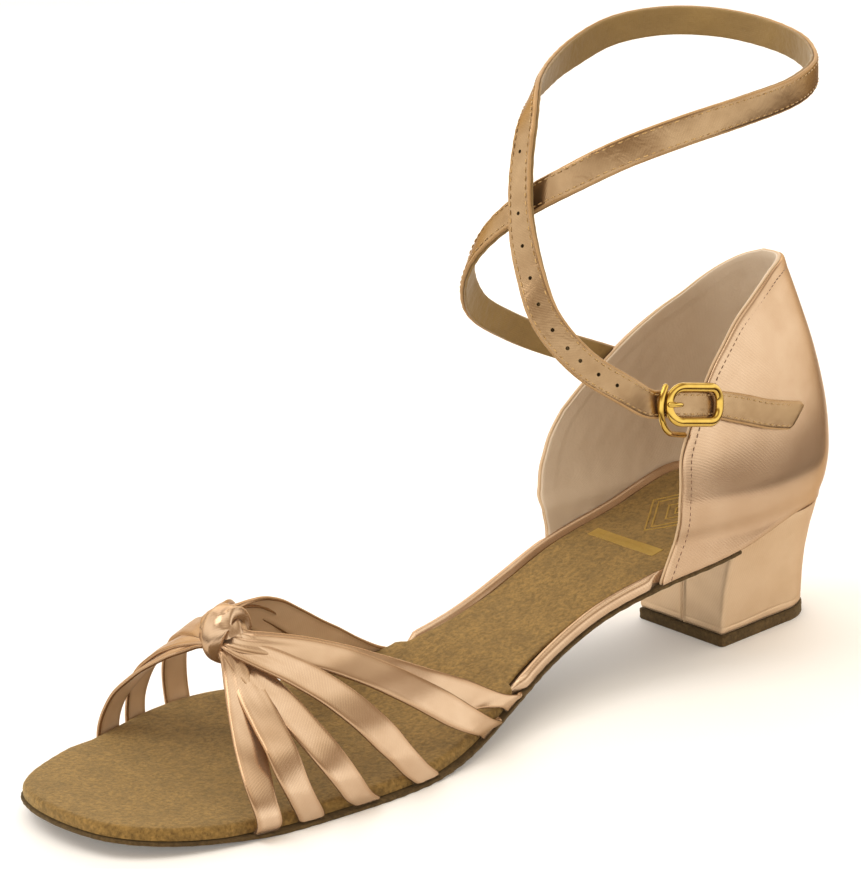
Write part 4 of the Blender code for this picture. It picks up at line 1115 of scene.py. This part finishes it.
def bezier(points, steps):
    t = np.linspace(0.0, 1.0, steps)[:, None]
    a, b, c, d = (np.array(p, float) for p in points)
    return (1 - t) ** 3 * a + 3 * t * (1 - t) ** 2 * b + 3 * t * t * (1 - t) * c + t ** 3 * d


def stripPath(side, index, station, place, lift, reach, fall, approach, bulge, swell):
    y = float(outlineY(station, side, strips["inset"]))
    foot = np.array((station, y, float(underside(station)) + insoleBase))
    stand = foot + (0.0, side * strips["standOut"], strips["stand"])
    start = np.array(knot["place"]) + (place, side * knot["start"], lift)
    root = start - (0.0, side * (knot["start"] - knot["root"]) + 0.3 * place, 0.0)
    run = unit((stand - start) * (1.0, 1.0, 0.0))
    shoulder = (start + run * strips["shoulder"]
                + (0.0, side * knot["leave"], fall * strips["shoulderFall"]))
    leave = shoulder + run * reach + (0.0, 0.0, fall)
    arrive = stand - run * approach + (0.0, side * bulge, swell)
    slope = bezier((shoulder, leave, arrive, stand), 56)
    if side > 0:
        share = travel(slope) / travel(slope)[-1]
        belly = strips["belly"][index] * np.sin(math.pi * share ** strips["bellyLow"])
        slope += belly[:, None] * np.array(strips["bellyWay"])
    neck = spline(np.vstack([[root], [start], slope[:1], slope[8:9]]), 8)[:16]
    return np.vstack([neck, slope[1:], [foot + (stand - foot) * 0.45, foot]])


def smoothed(curve, reach):
    # rounds the bends of a curve, with its two ends kept
    step = 0.5
    curve = resample(curve, int(travel(curve)[-1] / step) + 1)
    pad = int(3 * reach / step)
    head = 2 * curve[0] - curve[pad:0:-1]
    tail = 2 * curve[-1] - curve[-2:-pad - 2:-1]
    padded = np.vstack([head, curve, tail])
    kernel = np.exp(-(np.arange(-pad, pad + 1) * step / reach) ** 2 / 2)
    kernel /= kernel.sum()
    return np.stack([np.convolve(padded[:, k], kernel, "valid") for k in range(3)], axis=1)


def instepOutward(point):
    def level(p):
        half, height = straight(instepRows, p[0], 1), straight(instepRows, p[0], 2)
        return (p[1] / half) ** 2 + ((p[2] - float(underside(p[0]))) / height) ** 2
    return unit(np.array([level(point + axis) - level(point - axis) for axis in np.eye(3)]))


def cornerLoss(left, radius):
    # what a rounded corner takes off the half width near the end of a strip
    short = np.clip(radius - left, 0.0, radius)
    return radius - np.sqrt(np.maximum(radius ** 2 - short ** 2, 0.0))


def stripRelief(index, gone, left, share):
    # a crown across the strip, pleats near the knot, soft ripples and the lap over the next strip
    crown = strips["crown"] * (1.0 - share ** 2) * ease(left, 2.0, 9.0)[:, None]
    gather = (1.0 - ease(gone, 4.0, 26.0))[:, None]
    pleats = strips["pleat"] * gather * np.cos(share * 7.5 + index * 1.7)
    wave = strips["ripple"] * np.sin(gone[:, None] * 0.55 + index + share * 1.5)
    ripple = wave * ease(left, 3.0, 12.0)[:, None]
    lap = strips["lap"] * (2.0 - index % 6) * (1.0 - ease(gone, 12.0, 34.0))[:, None]
    return crown + pleats + ripple + lap


def buildStrip(row, index, material, reverse):
    side, front, rear, *course = row
    ahead, behind = (np.array((place, float(outlineY(place, side, strips["inset"])), 0.0))
                     for place in (front, rear))
    centres = smoothed(stripPath(side, index % 6, (front + rear) / 2, *course), strips["bend"])
    centres = resample(centres, strips["along"])
    gone = travel(centres)
    left = gone[-1] - gone
    along = unit(np.gradient(centres, axis=0))
    outwardForm = np.array([instepOutward(p) for p in centres])
    level = unit(np.cross(along, outwardForm)) * side
    turn = ease(left, *strips["turn"])[:, None]
    width = strips["width"] - (strips["width"] - strips["rootWidth"]) * np.exp(-gone / strips["spread"])
    across = level * width[:, None] * turn + (ahead - behind) * (1.0 - turn)
    outward = unit(np.cross(across, along)) * side
    widths = np.linalg.norm(across, axis=1)
    across = across / widths[:, None]
    thick = strips["thick"]
    half = widths / 2 - thick / 2 - cornerLoss(left, strips["cornerRadius"]) * strips["cornerCut"]
    share = np.linspace(-1.0, 1.0, strips["across"])
    lift = stripRelief(index, gone, left, share)[..., None] * outward[:, None]
    middle = centres[:, None] + across[:, None] * (half[:, None] * share)[..., None] + lift
    middle[-1, :, 2] = underside(middle[-1, :, 0]) + insoleBase + strips["rest"]
    face = middle + outward[:, None] * thick / 2
    back = middle - outward[:, None] * thick / 2
    # edge darkens the satin towards the strip's edges: painted shade
    points, faces, uv, edge, group = closedSheet(face, back)
    name = "strip_%s_%d" % ("outer" if side > 0 else "inner", index % 6 + 1)
    # the back faces take the reverse satin, whose lighter colour is painted light
    makePiece(name, points, faces, [material, material, reverse], uv + (index * 31.0, 0.0), edge,
              group, replaced=["vamp_straps"], slot="satin")


# the loop's two free edges across the shoe, by angle round it from the toe side over the top
loopEdges = (
    (-180.0, -3.6, 2.6), (-135.0, -3.1, 2.6), (-90.0, -2.4, 3.0), (-52.0, -1.4, 4.0), (-29.0, -0.9, 4.9),
    (0.0, -0.6, 6.0), (14.0, -0.6, 6.4), (33.0, -0.8, 6.8), (50.0, -1.0, 6.9), (62.0, -1.3, 6.5),
    (76.0, -1.6, 5.8), (90.0, -1.9, 5.2), (120.0, -2.8, 4.2), (150.0, -3.4, 3.2), (180.0, -3.6, 2.6),
)


def knotRelief(kind, at):
    height, middle, width = knot[kind]
    return height * bump(at, middle, width)


def loopRing(degrees, centre):
    # one section of the loop: its face from edge to edge, then its back
    share = np.linspace(-1.0, 1.0, knot["across"])
    turn = math.radians(degrees)
    out = np.array((math.cos(turn), 0.0, math.sin(turn)))
    hole = out * np.array((knot["halfX"] + seamGap, 0.0, knot["halfZ"] + seamGap))
    low, high = lookup(loopEdges, degrees, 1), lookup(loopEdges, degrees, 2)
    rear = ease(degrees, *knot["rear"])
    dome = 0.25 + 0.75 * np.sqrt(np.maximum(1.0 - share ** 4 * 0.98, 0.0))
    height = (knot["thick"] * dome
              + knotRelief("hem", share) * rear
              + knotRelief("tuck", degrees) * ease(share, 0.5, 1.0)
              + knotRelief("groove", share) * rear
              + knotRelief("dip", degrees) * ease(share, 0.1, 1.0))
    face = centre + hole + out * height[:, None]
    face[:, 1] = low + (high - low) * (share + 1.0) / 2
    back = centre + hole - out * (0.7 * ease(share, 0.3, 1.0))[:, None]
    back[:, 1] = low + (high - low) * (share * 0.92 + 1.0) / 2
    ring = np.vstack([face, back[::-1]])
    return ring, np.column_stack([np.full(len(ring), turn * (knot["halfZ"] + 2.0)), travel(ring)])


def gatherRing(y, size, centre):
    a = np.radians(np.arange(0.0, 360.0, knot["gatherStep"]))
    pleats = 1.0 + 0.05 * np.sin(a * 7.0 + y * 0.2)
    droop = 0.06 * y * y * (abs(y) > 5.0)
    x = centre[0] + knot["halfX"] * size * pleats * np.cos(a)
    z = centre[2] + knot["halfZ"] * size * pleats * np.sin(a) - droop
    flat = np.full(len(a), y)
    return np.column_stack([x, flat, z]), np.column_stack([flat, a * 5.0])


def buildKnot(satin):
    # a loop of folded satin wound once round the gathered strips
    print("knot")
    centre = np.array(knot["place"]) * (1.0, 0.0, 1.0)
    turns = [-180.0 + 360.0 * k / knot["steps"] for k in range(knot["steps"])]
    rings, uvs = zip(*[loopRing(degrees, centre) for degrees in turns])
    makePiece("knot_loop", np.concatenate(rings), ringFaces(len(rings), len(rings[0]), True), [satin],
              np.concatenate(uvs), replaced=["knot_wrap"], slot="satin", sharp=70.0)
    rings, uvs = zip(*[gatherRing(y, size, centre) for y, size in gatherRings])
    makePiece("knot_gather", *stacked(rings), [satin], np.concatenate(uvs),
              replaced=["vamp_straps"], slot="satin", sharp=70.0)


# ankle strap and buckle
ankleStrap = {
    "width": 7.6, "narrow": 7.0, "thick": 1.8,
    "cover": 1.0,         # thickness of the satin layer; the lining makes up the rest
    "offWall": 0.5,
    "step": 1.4,
    "across": 13,
    "rise": (70.0, 88.0),         # heights between which it leaves the counter for the ankle
    "wallEnd": (52.0, 70.0),      # last station and height where the counter guides it
    "narrowing": (8.0, 18.0),     # distances from the buckle between which it narrows
    "trim": 0.12,         # the lining is this much narrower on each side
    "cornerRadius": 1.2,
    "cornerCut": 0.6,
    "endLean": 0.85,      # slant of the cut end, over the last few rows
    "crown": 0.12,
    "pucker": 0.05,
    "wave": 0.06,
    "wrinkle": 0.16,      # of the lining, kept under a limit so that it stays closed
    "wrinkleLimit": 0.1,
    "stitchIn": 1.15,
    "holeRadius": 0.5,
    "holeSides": 14,
}
buckle = {
    "place": (62.9, 30.4, 72.4), "pitch": 12.0, "lean": 9.0,
    "length": 17.2, "height": 8.6, "corner": 3.8, "cornerSteps": 14,
    "bow": 1.0,           # the long sides stand out in the middle
    "bar": 1.2,           # radius of the frame across the buckle, and how flat it is
    "flat": 0.74,
    "steps": 120, "sides": 20,
}
# the buckle's other bars: name, solid, places along, up and out, the radius at each end,
# numbers of steps and sides, and the direction that the sides start from
buckleBars = (
    ("buckle_hook_bar", "buckle_hook",
     ((-9.8, 4.4, -0.4), (-11.0, 2.0, -0.2), (-11.3, 0.0, -0.2), (-11.0, -2.4, -0.4),
      (-9.6, -5.2, -0.8), (-6.8, -6.9, -2.0), (-2.6, -7.5, -4.2), (2.6, -7.8, -6.2)),
     (0.765, 0.765), 70, 16, (0.0, 1.0, 0.0)),
    ("buckle_tongue", "buckle_prong",
     ((-9.3, 0.0, 0.95), (-8.3, 0.0, 1.45), (-6.9, 0.0, 1.5), (-5.6, 0.0, 1.15), (-4.8, 0.0, 0.35)),
     (0.72, 0.5), 24, 14, (0.0, 0.0, 1.0)),
)
strapStart = ((32.0, 64.8), (38.0, 67.2), (44.0, 69.8))     # places on the inner wall
strapRoute = (
    (58.0, -30.2, 76.2), (70.0, -31.4, 82.4), (84.0, -28.0, 91.4), (91.9, -21.2, 102.0),
    (92.6, -14.1, 111.8), (89.2, -2.8, 121.8), (85.0, 9.7, 129.4), (75.9, 19.6, 135.9),
    (62.3, 27.4, 140.8), (46.6, 31.4, 143.8), (29.4, 30.8, 145.8), (14.6, 23.8, 147.9),
    (5.9, 11.7, 150.4), (3.3, -2.3, 152.7), (8.2, -16.4, 155.0), (19.3, -25.9, 156.0),
    (33.8, -30.7, 154.7), (50.0, -29.8, 150.2), (65.2, -21.6, 147.4), (77.6, -11.2, 145.6),
    (85.6, -4.4, 140.4), (90.0, -1.6, 129.8), (93.6, 2.4, 119.2), (96.6, 8.8, 108.3),
    (97.9, 16.0, 98.0), (93.4, 23.4, 87.9), (83.4, 28.0, 79.6),
)
strapThrough = ((-13.0, -2.4), (-8.8, -2.3), (-4.4, -1.0), (0.0, -0.4), (4.4, -1.0), (8.8, -2.3))
strapTail = ((44.0, 66.6), (38.0, 64.4), (32.0, 62.7), (26.5, 61.4))      # places on the outer wall
strapHoles = (25.2, 31.2, 35.9, 40.7, 46.1, 52.7, 59.9, 68.9, 77.3, 92.3)  # run before the buckle


def bucklePoint(along, up, out):
    pitch, lean = math.radians(buckle["pitch"]), math.radians(buckle["lean"])
    tail = np.array((-math.cos(pitch), 0.0, -math.sin(pitch)))
    face = np.array((0.0, math.cos(lean), math.sin(lean)))
    face = unit(face - tail * np.dot(face, tail))
    return np.array(buckle["place"]) + tail * along + np.cross(face, tail) * up + face * out


# the ankle inside the strap: height and place of its front
ankleFront = ((60.0, 112.0), (103.0, 97.0), (150.0, 76.0), (165.0, 72.0))
ankle = {"back": 4.0, "half": 32.0, "lean": 0.42}


def ankleOutward(point):
    x, y, z = point
    front = straight(ankleFront, z)
    middle, length = (front + ankle["back"]) / 2, (front - ankle["back"]) / 2
    lean = ankle["lean"] * max((x - middle) / length, 0.0)
    flat = unit(np.array(((x - middle) / length ** 2, y / ankle["half"] ** 2, 0.0)))
    return unit(flat + (0.0, 0.0, lean))


def strapFrame(walls):
    # middle line of the strap with its width and outward directions
    off = ankleStrap["thick"] / 2 + ankleStrap["offWall"]
    start = [wallBeside(walls[-1], station, height, off) for station, height in strapStart]
    through = [bucklePoint(along, 0.0, out) for along, out in strapThrough]
    tail = [wallBeside(walls[1], station, height, off) for station, height in strapTail]
    curve = spline(np.array(start + list(strapRoute) + through + tail), 30)
    centres = resample(curve, int(travel(curve)[-1] / ankleStrap["step"]) + 1)
    along = unit(np.gradient(centres, axis=0))
    low = 1.0 - ease(centres[:, 2], *ankleStrap["rise"])
    outward = []
    for i, spot in enumerate(centres):
        wall = walls[1] if i > len(centres) / 2 else walls[-1]
        flat = wallOutward(wall, *np.minimum((spot[0], spot[2]), ankleStrap["wallEnd"]))
        outward.append(unit(ankleOutward(spot) * (1.0 - low[i]) + flat * low[i]))
    across = unit(np.cross(np.array(outward), along))
    outward = unit(np.cross(along, across))
    nearBuckle = np.linalg.norm(centres - np.array(buckle["place"]), axis=1)
    narrowed = 1.0 - ease(nearBuckle, *ankleStrap["narrowing"])
    width = ankleStrap["width"] - (ankleStrap["width"] - ankleStrap["narrow"]) * narrowed
    return centres, along, across, outward, width


def strapLayer(course, top, bottom, trim):
    # one layer of the strap between two heights over its middle line
    centres, along, across, outward, width = course
    share = np.linspace(-1.0, 1.0, ankleStrap["across"])
    gone = travel(centres)
    half = width / 2 - trim - (top - bottom) / 2
    half = half - cornerLoss(gone[-1] - gone, ankleStrap["cornerRadius"]) * ankleStrap["cornerCut"]
    lean = np.zeros(len(centres))
    lean[-6:] = np.linspace(0.0, 1.0, 6) * ankleStrap["endLean"]
    pucker = (ankleStrap["pucker"] * np.sin(gone * 1.5)[:, None] * share ** 4
              + ankleStrap["wave"] * np.sin(gone[:, None] * 0.35 + share))
    wave = np.sin(gone * 2.1 + 1.5 * np.sin(gone * 0.4))[:, None]
    wrinkle = ankleStrap["wrinkle"] * wave * (1.0 - share ** 2) * (trim > 0.0)
    wrinkle = wrinkle * (0.4 + 0.6 * np.sin(gone * 0.05 + 0.5) ** 2)[:, None]
    spots = (centres[:, None] + across[:, None] * (half[:, None] * share)[..., None]
             + along[:, None] * (lean[:, None] * half[:, None] * share)[..., None]
             + outward[:, None] * (pucker + ankleStrap["crown"] * (1.0 - share ** 2))[..., None])
    under = spots + outward[:, None] * (bottom + np.minimum(wrinkle, ankleStrap["wrinkleLimit"]))[..., None]
    return closedSheet(spots + outward[:, None] * top, under)


def makePins(course):
    # short round pins across the satin layer, one for each hole of the strap
    centres, along, across, outward, _ = course
    gone = travel(centres)
    atBuckle = gone[int(np.argmin(np.linalg.norm(centres - np.array(buckle["place"]), axis=1)))]
    turns = [2 * math.pi * k / ankleStrap["holeSides"] for k in range(ankleStrap["holeSides"])]
    points, faces = [], []
    for run in strapHoles:
        i = int(np.argmin(abs(gone - (atBuckle - run))))
        rings = []
        for lift in (ankleStrap["thick"] / 2 - ankleStrap["cover"] + 0.12, 3.0):
            spots = [along[i] * math.cos(a) + across[i] * math.sin(a) for a in turns]
            rings.append([centres[i] + spot * ankleStrap["holeRadius"] + outward[i] * lift for spot in spots])
        first, size = len(points), len(turns)
        ends = [tuple(reversed(range(size))), tuple(range(size, 2 * size))]
        faces += [tuple(first + v for v in face) for face in ends + ringFaces(2, size)]
        points += rings[0] + rings[1]
    return points, faces


def punchHoles(piece, course, dark):
    # round holes cut part way into the satin layer; their walls and floors take a dark material, painted
    # shade in place of the shade deep in a hole
    points, faces = makePins(course)
    mesh = newMesh("pins", points, faces)
    mesh.materials.append(dark)
    faceOutward(mesh)
    pins = newObject("pins", mesh)
    cut = piece.modifiers.new("holes", "BOOLEAN")
    cut.operation = "DIFFERENCE"
    cut.solver = "EXACT"
    cut.material_mode = "TRANSFER"
    cut.object = pins
    result = modified(piece)
    piece.modifiers.clear()
    old = piece.data
    result.name = old.name
    piece.data = result
    bpy.data.meshes.remove(old)
    bpy.data.objects.remove(pins)
    bpy.data.meshes.remove(mesh)


def buildStrap(walls, satin, edge, lining, dark):
    print("ankle strap")
    course = strapFrame(walls)
    half = ankleStrap["thick"] / 2
    under = half - ankleStrap["cover"]
    layers = (("strap_cover", half, under, 0.0, [satin, edge, edge]),
              ("strap_lining", under - 0.02, -half, ankleStrap["trim"], [lining, lining, lining]))
    for name, top, bottom, trim, materials in layers:
        points, faces, uv, rim, group = strapLayer(course, top, bottom, trim)
        # rim * 0.4 darkens the satin towards the strap's edges: painted shade
        piece = makePiece(name, points, faces, materials, uv, rim * 0.4, group,
                          replaced=["ankle_strap"], slot="strap_satin")
        if name == "strap_cover":
            # dark: the painted shade inside the holes
            punchHoles(piece, course, dark)
    return course


def buckleLoop():
    length, height, corner = buckle["length"], buckle["height"], buckle["corner"]
    path = []
    for signX, signY, start in ((1, 1, 0.0), (-1, 1, 0.5), (-1, -1, 1.0), (1, -1, 1.5)):
        for k in range(buckle["cornerSteps"]):
            a = math.pi * (start + 0.5 * k / (buckle["cornerSteps"] - 1))
            x = signX * (length / 2 - corner) + corner * math.cos(a)
            z = signY * (height / 2 - corner) + corner * math.sin(a)
            path.append(bucklePoint(x, z, buckle["bow"] * (1.0 - (2 * x / length) ** 2)))
    return resample(np.vstack([path, path[:1]]), buckle["steps"] + 1)[:-1]


def buildBuckle(gold):
    print("buckle")
    upright = np.array((0.0, 1.0, 0.0))
    rings = tubeRings(buckleLoop(), buckle["bar"], buckle["sides"], upright, True, buckle["flat"])
    points = np.concatenate(rings)
    made = [("buckle_ring", "buckle_frame", points, ringFaces(len(rings), buckle["sides"], True))]
    for name, solid, places, radii, steps, sides, normal in buckleBars:
        path = resample(spline([bucklePoint(*place) for place in places]), steps)
        made.append((name, solid, *capped(path, np.linspace(*radii, steps), sides, np.array(normal))))
    for name, solid, points, faces in made:
        makePiece(name, points, faces, [gold], points[:, :2],
                  replaced=[solid], slot="gold_plate", sharp=80.0)


# stitches, laid along a path by geometry nodes
def makeStitchTree():
    tree = bpy.data.node_groups.new("stitchRow", "GeometryNodeTree")
    sockets = tree.interface
    sockets.new_socket(name="Path", in_out="INPUT", socket_type="NodeSocketGeometry")
    for name in ("Pitch", "Length", "Thread"):
        sockets.new_socket(name=name, in_out="INPUT", socket_type="NodeSocketFloat")
    sockets.new_socket(name="Finish", in_out="INPUT", socket_type="NodeSocketMaterial")
    sockets.new_socket(name="Stitches", in_out="OUTPUT", socket_type="NodeSocketGeometry")
    given = addNode(tree, "NodeGroupInput")
    line = addNode(tree, "GeometryNodeMeshToCurve", None, {"Mesh": given.outputs["Path"]})
    spaced = addNode(tree, "GeometryNodeResampleCurve", {"mode": "LENGTH"}, {
        "Curve": line.outputs[0], "Length": given.outputs["Pitch"]})
    run = addNode(tree, "GeometryNodeInputTangent")
    turn = addNode(tree, "FunctionNodeAlignRotationToVector", {"axis": "X"}, {
        "Vector": run.outputs[0]})
    halfLength = addNode(tree, "ShaderNodeMath", {"operation": "MULTIPLY"}, {
        0: given.outputs["Length"], 1: 0.5})
    size = addNode(tree, "ShaderNodeCombineXYZ", None, {
        0: halfLength.outputs[0], 1: given.outputs["Thread"], 2: given.outputs["Thread"]})
    ball = addNode(tree, "GeometryNodeMeshUVSphere", None, {"Segments": 8, "Rings": 6, "Radius": 1.0})
    laid = addNode(tree, "GeometryNodeInstanceOnPoints", None, {
        "Points": spaced.outputs[0], "Instance": ball.outputs["Mesh"],
        "Rotation": turn.outputs[0], "Scale": size.outputs[0]})
    real = addNode(tree, "GeometryNodeRealizeInstances", None, {0: laid.outputs[0]})
    finish = addNode(tree, "GeometryNodeSetMaterial", None, {
        "Geometry": real.outputs[0], "Material": given.outputs["Finish"]})
    smooth = addNode(tree, "GeometryNodeSetShadeSmooth", None, {0: finish.outputs[0]})
    addNode(tree, "NodeGroupOutput", None, {0: smooth.outputs[0]})
    return tree


def sewRow(name, tree, path, pitch, length, thread, material, slot="satin"):
    # the path lies on the cloth; the ends of each stitch dip into it
    mesh = newMesh(name, path, edges=[(i, i + 1) for i in range(len(path) - 1)])
    guide = newObject(name + "_guide", mesh)
    row = guide.modifiers.new("row", "NODES")
    row.node_group = tree
    values = {"Pitch": pitch * mm, "Length": length * mm, "Thread": thread * mm, "Finish": material}
    for item in tree.interface.items_tree:
        if item.item_type == "SOCKET" and item.in_out == "INPUT" and item.name in values:
            row[item.identifier] = values[item.name]
    result = modified(guide)
    bpy.data.objects.remove(guide)
    bpy.data.meshes.remove(mesh)
    result.name = name
    settle(newObject(name, result))


# pitch, length and thickness of each kind of stitch, how far it lies over the cloth, and the
# part of the path that it covers
strapStitch = (2.1, 1.5, 0.17)
counterStitch = (1.7, 1.15, 0.12)
stitchLift = {"strap": 0.1, "counter": 0.06}
stitchPart = {"strap": slice(2, -3), "counter": slice(4, -4)}


def sewStitches(walls, course, golden, dark):
    print("stitches")
    tree = makeStitchTree()
    centres, _, across, outward, width = course
    for name, side in (("strap_stitches_low", -1), ("strap_stitches_high", 1)):
        row = (centres + across * (side * (width / 2 - ankleStrap["stitchIn"]))[:, None]
               + outward * (ankleStrap["thick"] / 2 + stitchLift["strap"]))
        sewRow(name, tree, row[stitchPart["strap"]], *strapStitch, golden, slot="strap_satin")
    path = edgeRun(walls, counterLook["stitchIn"], stitchLift["counter"])
    sewRow("counter_stitches", tree, path[stitchPart["counter"]], *counterStitch, dark)


ornament = {
    "middle": (38.0, -2.0),    # of the lozenges on the sock
    "sizes": ((13.5, 11.0), (11.0, 9.0), (6.0, 4.9), (2.6, 2.1)),
    "line": 0.55,
    "slant": (1.3, 1.1),       # a line of that width cuts this much more off the points
    "bar": (58.5, -1.5, 1.9, 12.5),    # place, then half its width and length
    "hollow": 0.05,            # half the width of the slit along the bar's middle
    "steps": 10,
    "low": 0.02, "high": 0.13,
}


def foilBand(outer, inner):
    # a thin raised band of foil between two loops drawn on the sock
    points, faces = [], []
    count = len(outer)
    for lift in (ornament["low"], ornament["high"]):
        for x, y in outer + inner:
            relief = sockRelief(x, 0.5 + y / sole["sockWidth"])
            points.append((x, y, float(underside(x)) + float(sockTop(x)) + relief + lift))
    for k in range(count):
        n = (k + 1) % count
        a, b, c, d = (s * count for s in range(4))
        faces += [(c + k, c + n, d + n, d + k), (a + k, b + k, b + n, a + n),
                  (a + k, a + n, c + n, c + k), (b + k, d + k, d + n, b + n)]
    return points, faces


def cornerLoop(corners, middle):
    loop, steps = [], ornament["steps"]
    for (x0, y0), (x1, y1) in zip(corners, corners[1:] + corners[:1]):
        loop += [(middle[0] + x0 + (x1 - x0) * s / steps, middle[1] + y0 + (y1 - y0) * s / steps)
                 for s in range(steps)]
    return loop


def ornamentBands():
    bands = []
    wide, high = ornament["slant"]
    for length, width in ornament["sizes"]:
        sizes = [(length - cut * wide, width - cut * high) for cut in (0.0, ornament["line"])]
        bands.append([cornerLoop([(a, 0.0), (0.0, b), (-a, 0.0), (0.0, -b)], ornament["middle"])
                      for a, b in sizes])
    x, y, halfX, halfY = ornament["bar"]
    sizes = [(halfX - cut, halfY - cut) for cut in (0.0, halfX - ornament["hollow"])]
    bands.append([cornerLoop([(a, b), (-a, b), (-a, -b), (a, -b)], (x, y)) for a, b in sizes])
    return bands


def buildOrnament(foil):
    # plain lozenges and a bar pressed in gold foil on the heel of the sock
    print("foil")
    points, faces = [], []
    for outer, inner in ornamentBands():
        morePoints, moreFaces = foilBand(outer, inner)
        faces += [tuple(len(points) + v for v in face) for face in moreFaces]
        points += morePoints
    points = np.array(points)
    makePiece("foil_lozenges", points, faces, [foil], points[:, :2], slot="gold_plate")


def main():
    buildStudio()
    print("materials")
    satin = makeSatin()
    heelSatin = makeSatin("polyester satin, heel cover", "#D2B899", "#C2A583", metallic=0.7, roughness=0.36)
    crinkled = makeSatin("creased metallic satin", "#A88D6C", "#785A3A", crinkle=0.13, roughness=0.25,
                         metallic=0.9)
    # the dull back of the satin is rougher and less metallic, as a satin's back is; its lighter colour is
    # painted light, so that the shaded undersides of the strips read lit
    reverse = makeSatin("satin, dull side, lighter as painted light", "#DDBF9B", "#CAA680", roughness=0.48, metallic=0.2)
    strapEdge = makeSatin("folded strap edge", "#C2A074", "#A07C4E", metallic=0.3, roughness=0.5)
    beigeLining = makeLining("beige lining cloth", "#D9C8B2", "#C0AC94")
    oliveLining = makeLining("olive-gold lining", "#9A7C42", "#735930", wrinkle=0.8)
    pipingCloth = makeLining("pale piping cord", "#D8BF9E", "#B9986F", wrinkle=0.1)
    sockSuede = makeSuede("tan-olive suede", "#93723C", "#5F4722", "#4C371B")
    darkSuede = makeSuede("brown chrome suede edge", "#5E4A2E", "#3E2E1A", "#2E2114", sheen=0.15)
    gold = makeGold("polished gold plate", "#B28A34", 0.08, 0.03)
    foil = makeGold("pressed gold foil", "#F0DA8C", 0.4)
    goldThread = makeThread("golden thread", "#C9A262", "#8E6A34")
    darkThread = makeThread("brown thread", "#8A6243", "#5E4029")
    buildOutsole(darkSuede)
    buildInsole(satin)
    buildSock(sockSuede)
    buildHeel(heelSatin)
    buildTopLift(darkSuede)
    walls = {side: makeWall(side) for side in (1, -1)}
    buildCounter(walls, satin, beigeLining, pipingCloth)
    print("strips")
    for index, row in enumerate(stripRows):
        buildStrip(row, index, satin, reverse)
    buildKnot(satin)
    # the dark suede also paints the shade inside the strap's holes
    course = buildStrap(walls, crinkled, strapEdge, oliveLining, darkSuede)
    buildBuckle(gold)
    sewStitches(walls, course, goldThread, darkThread)
    buildOrnament(foil)


main()
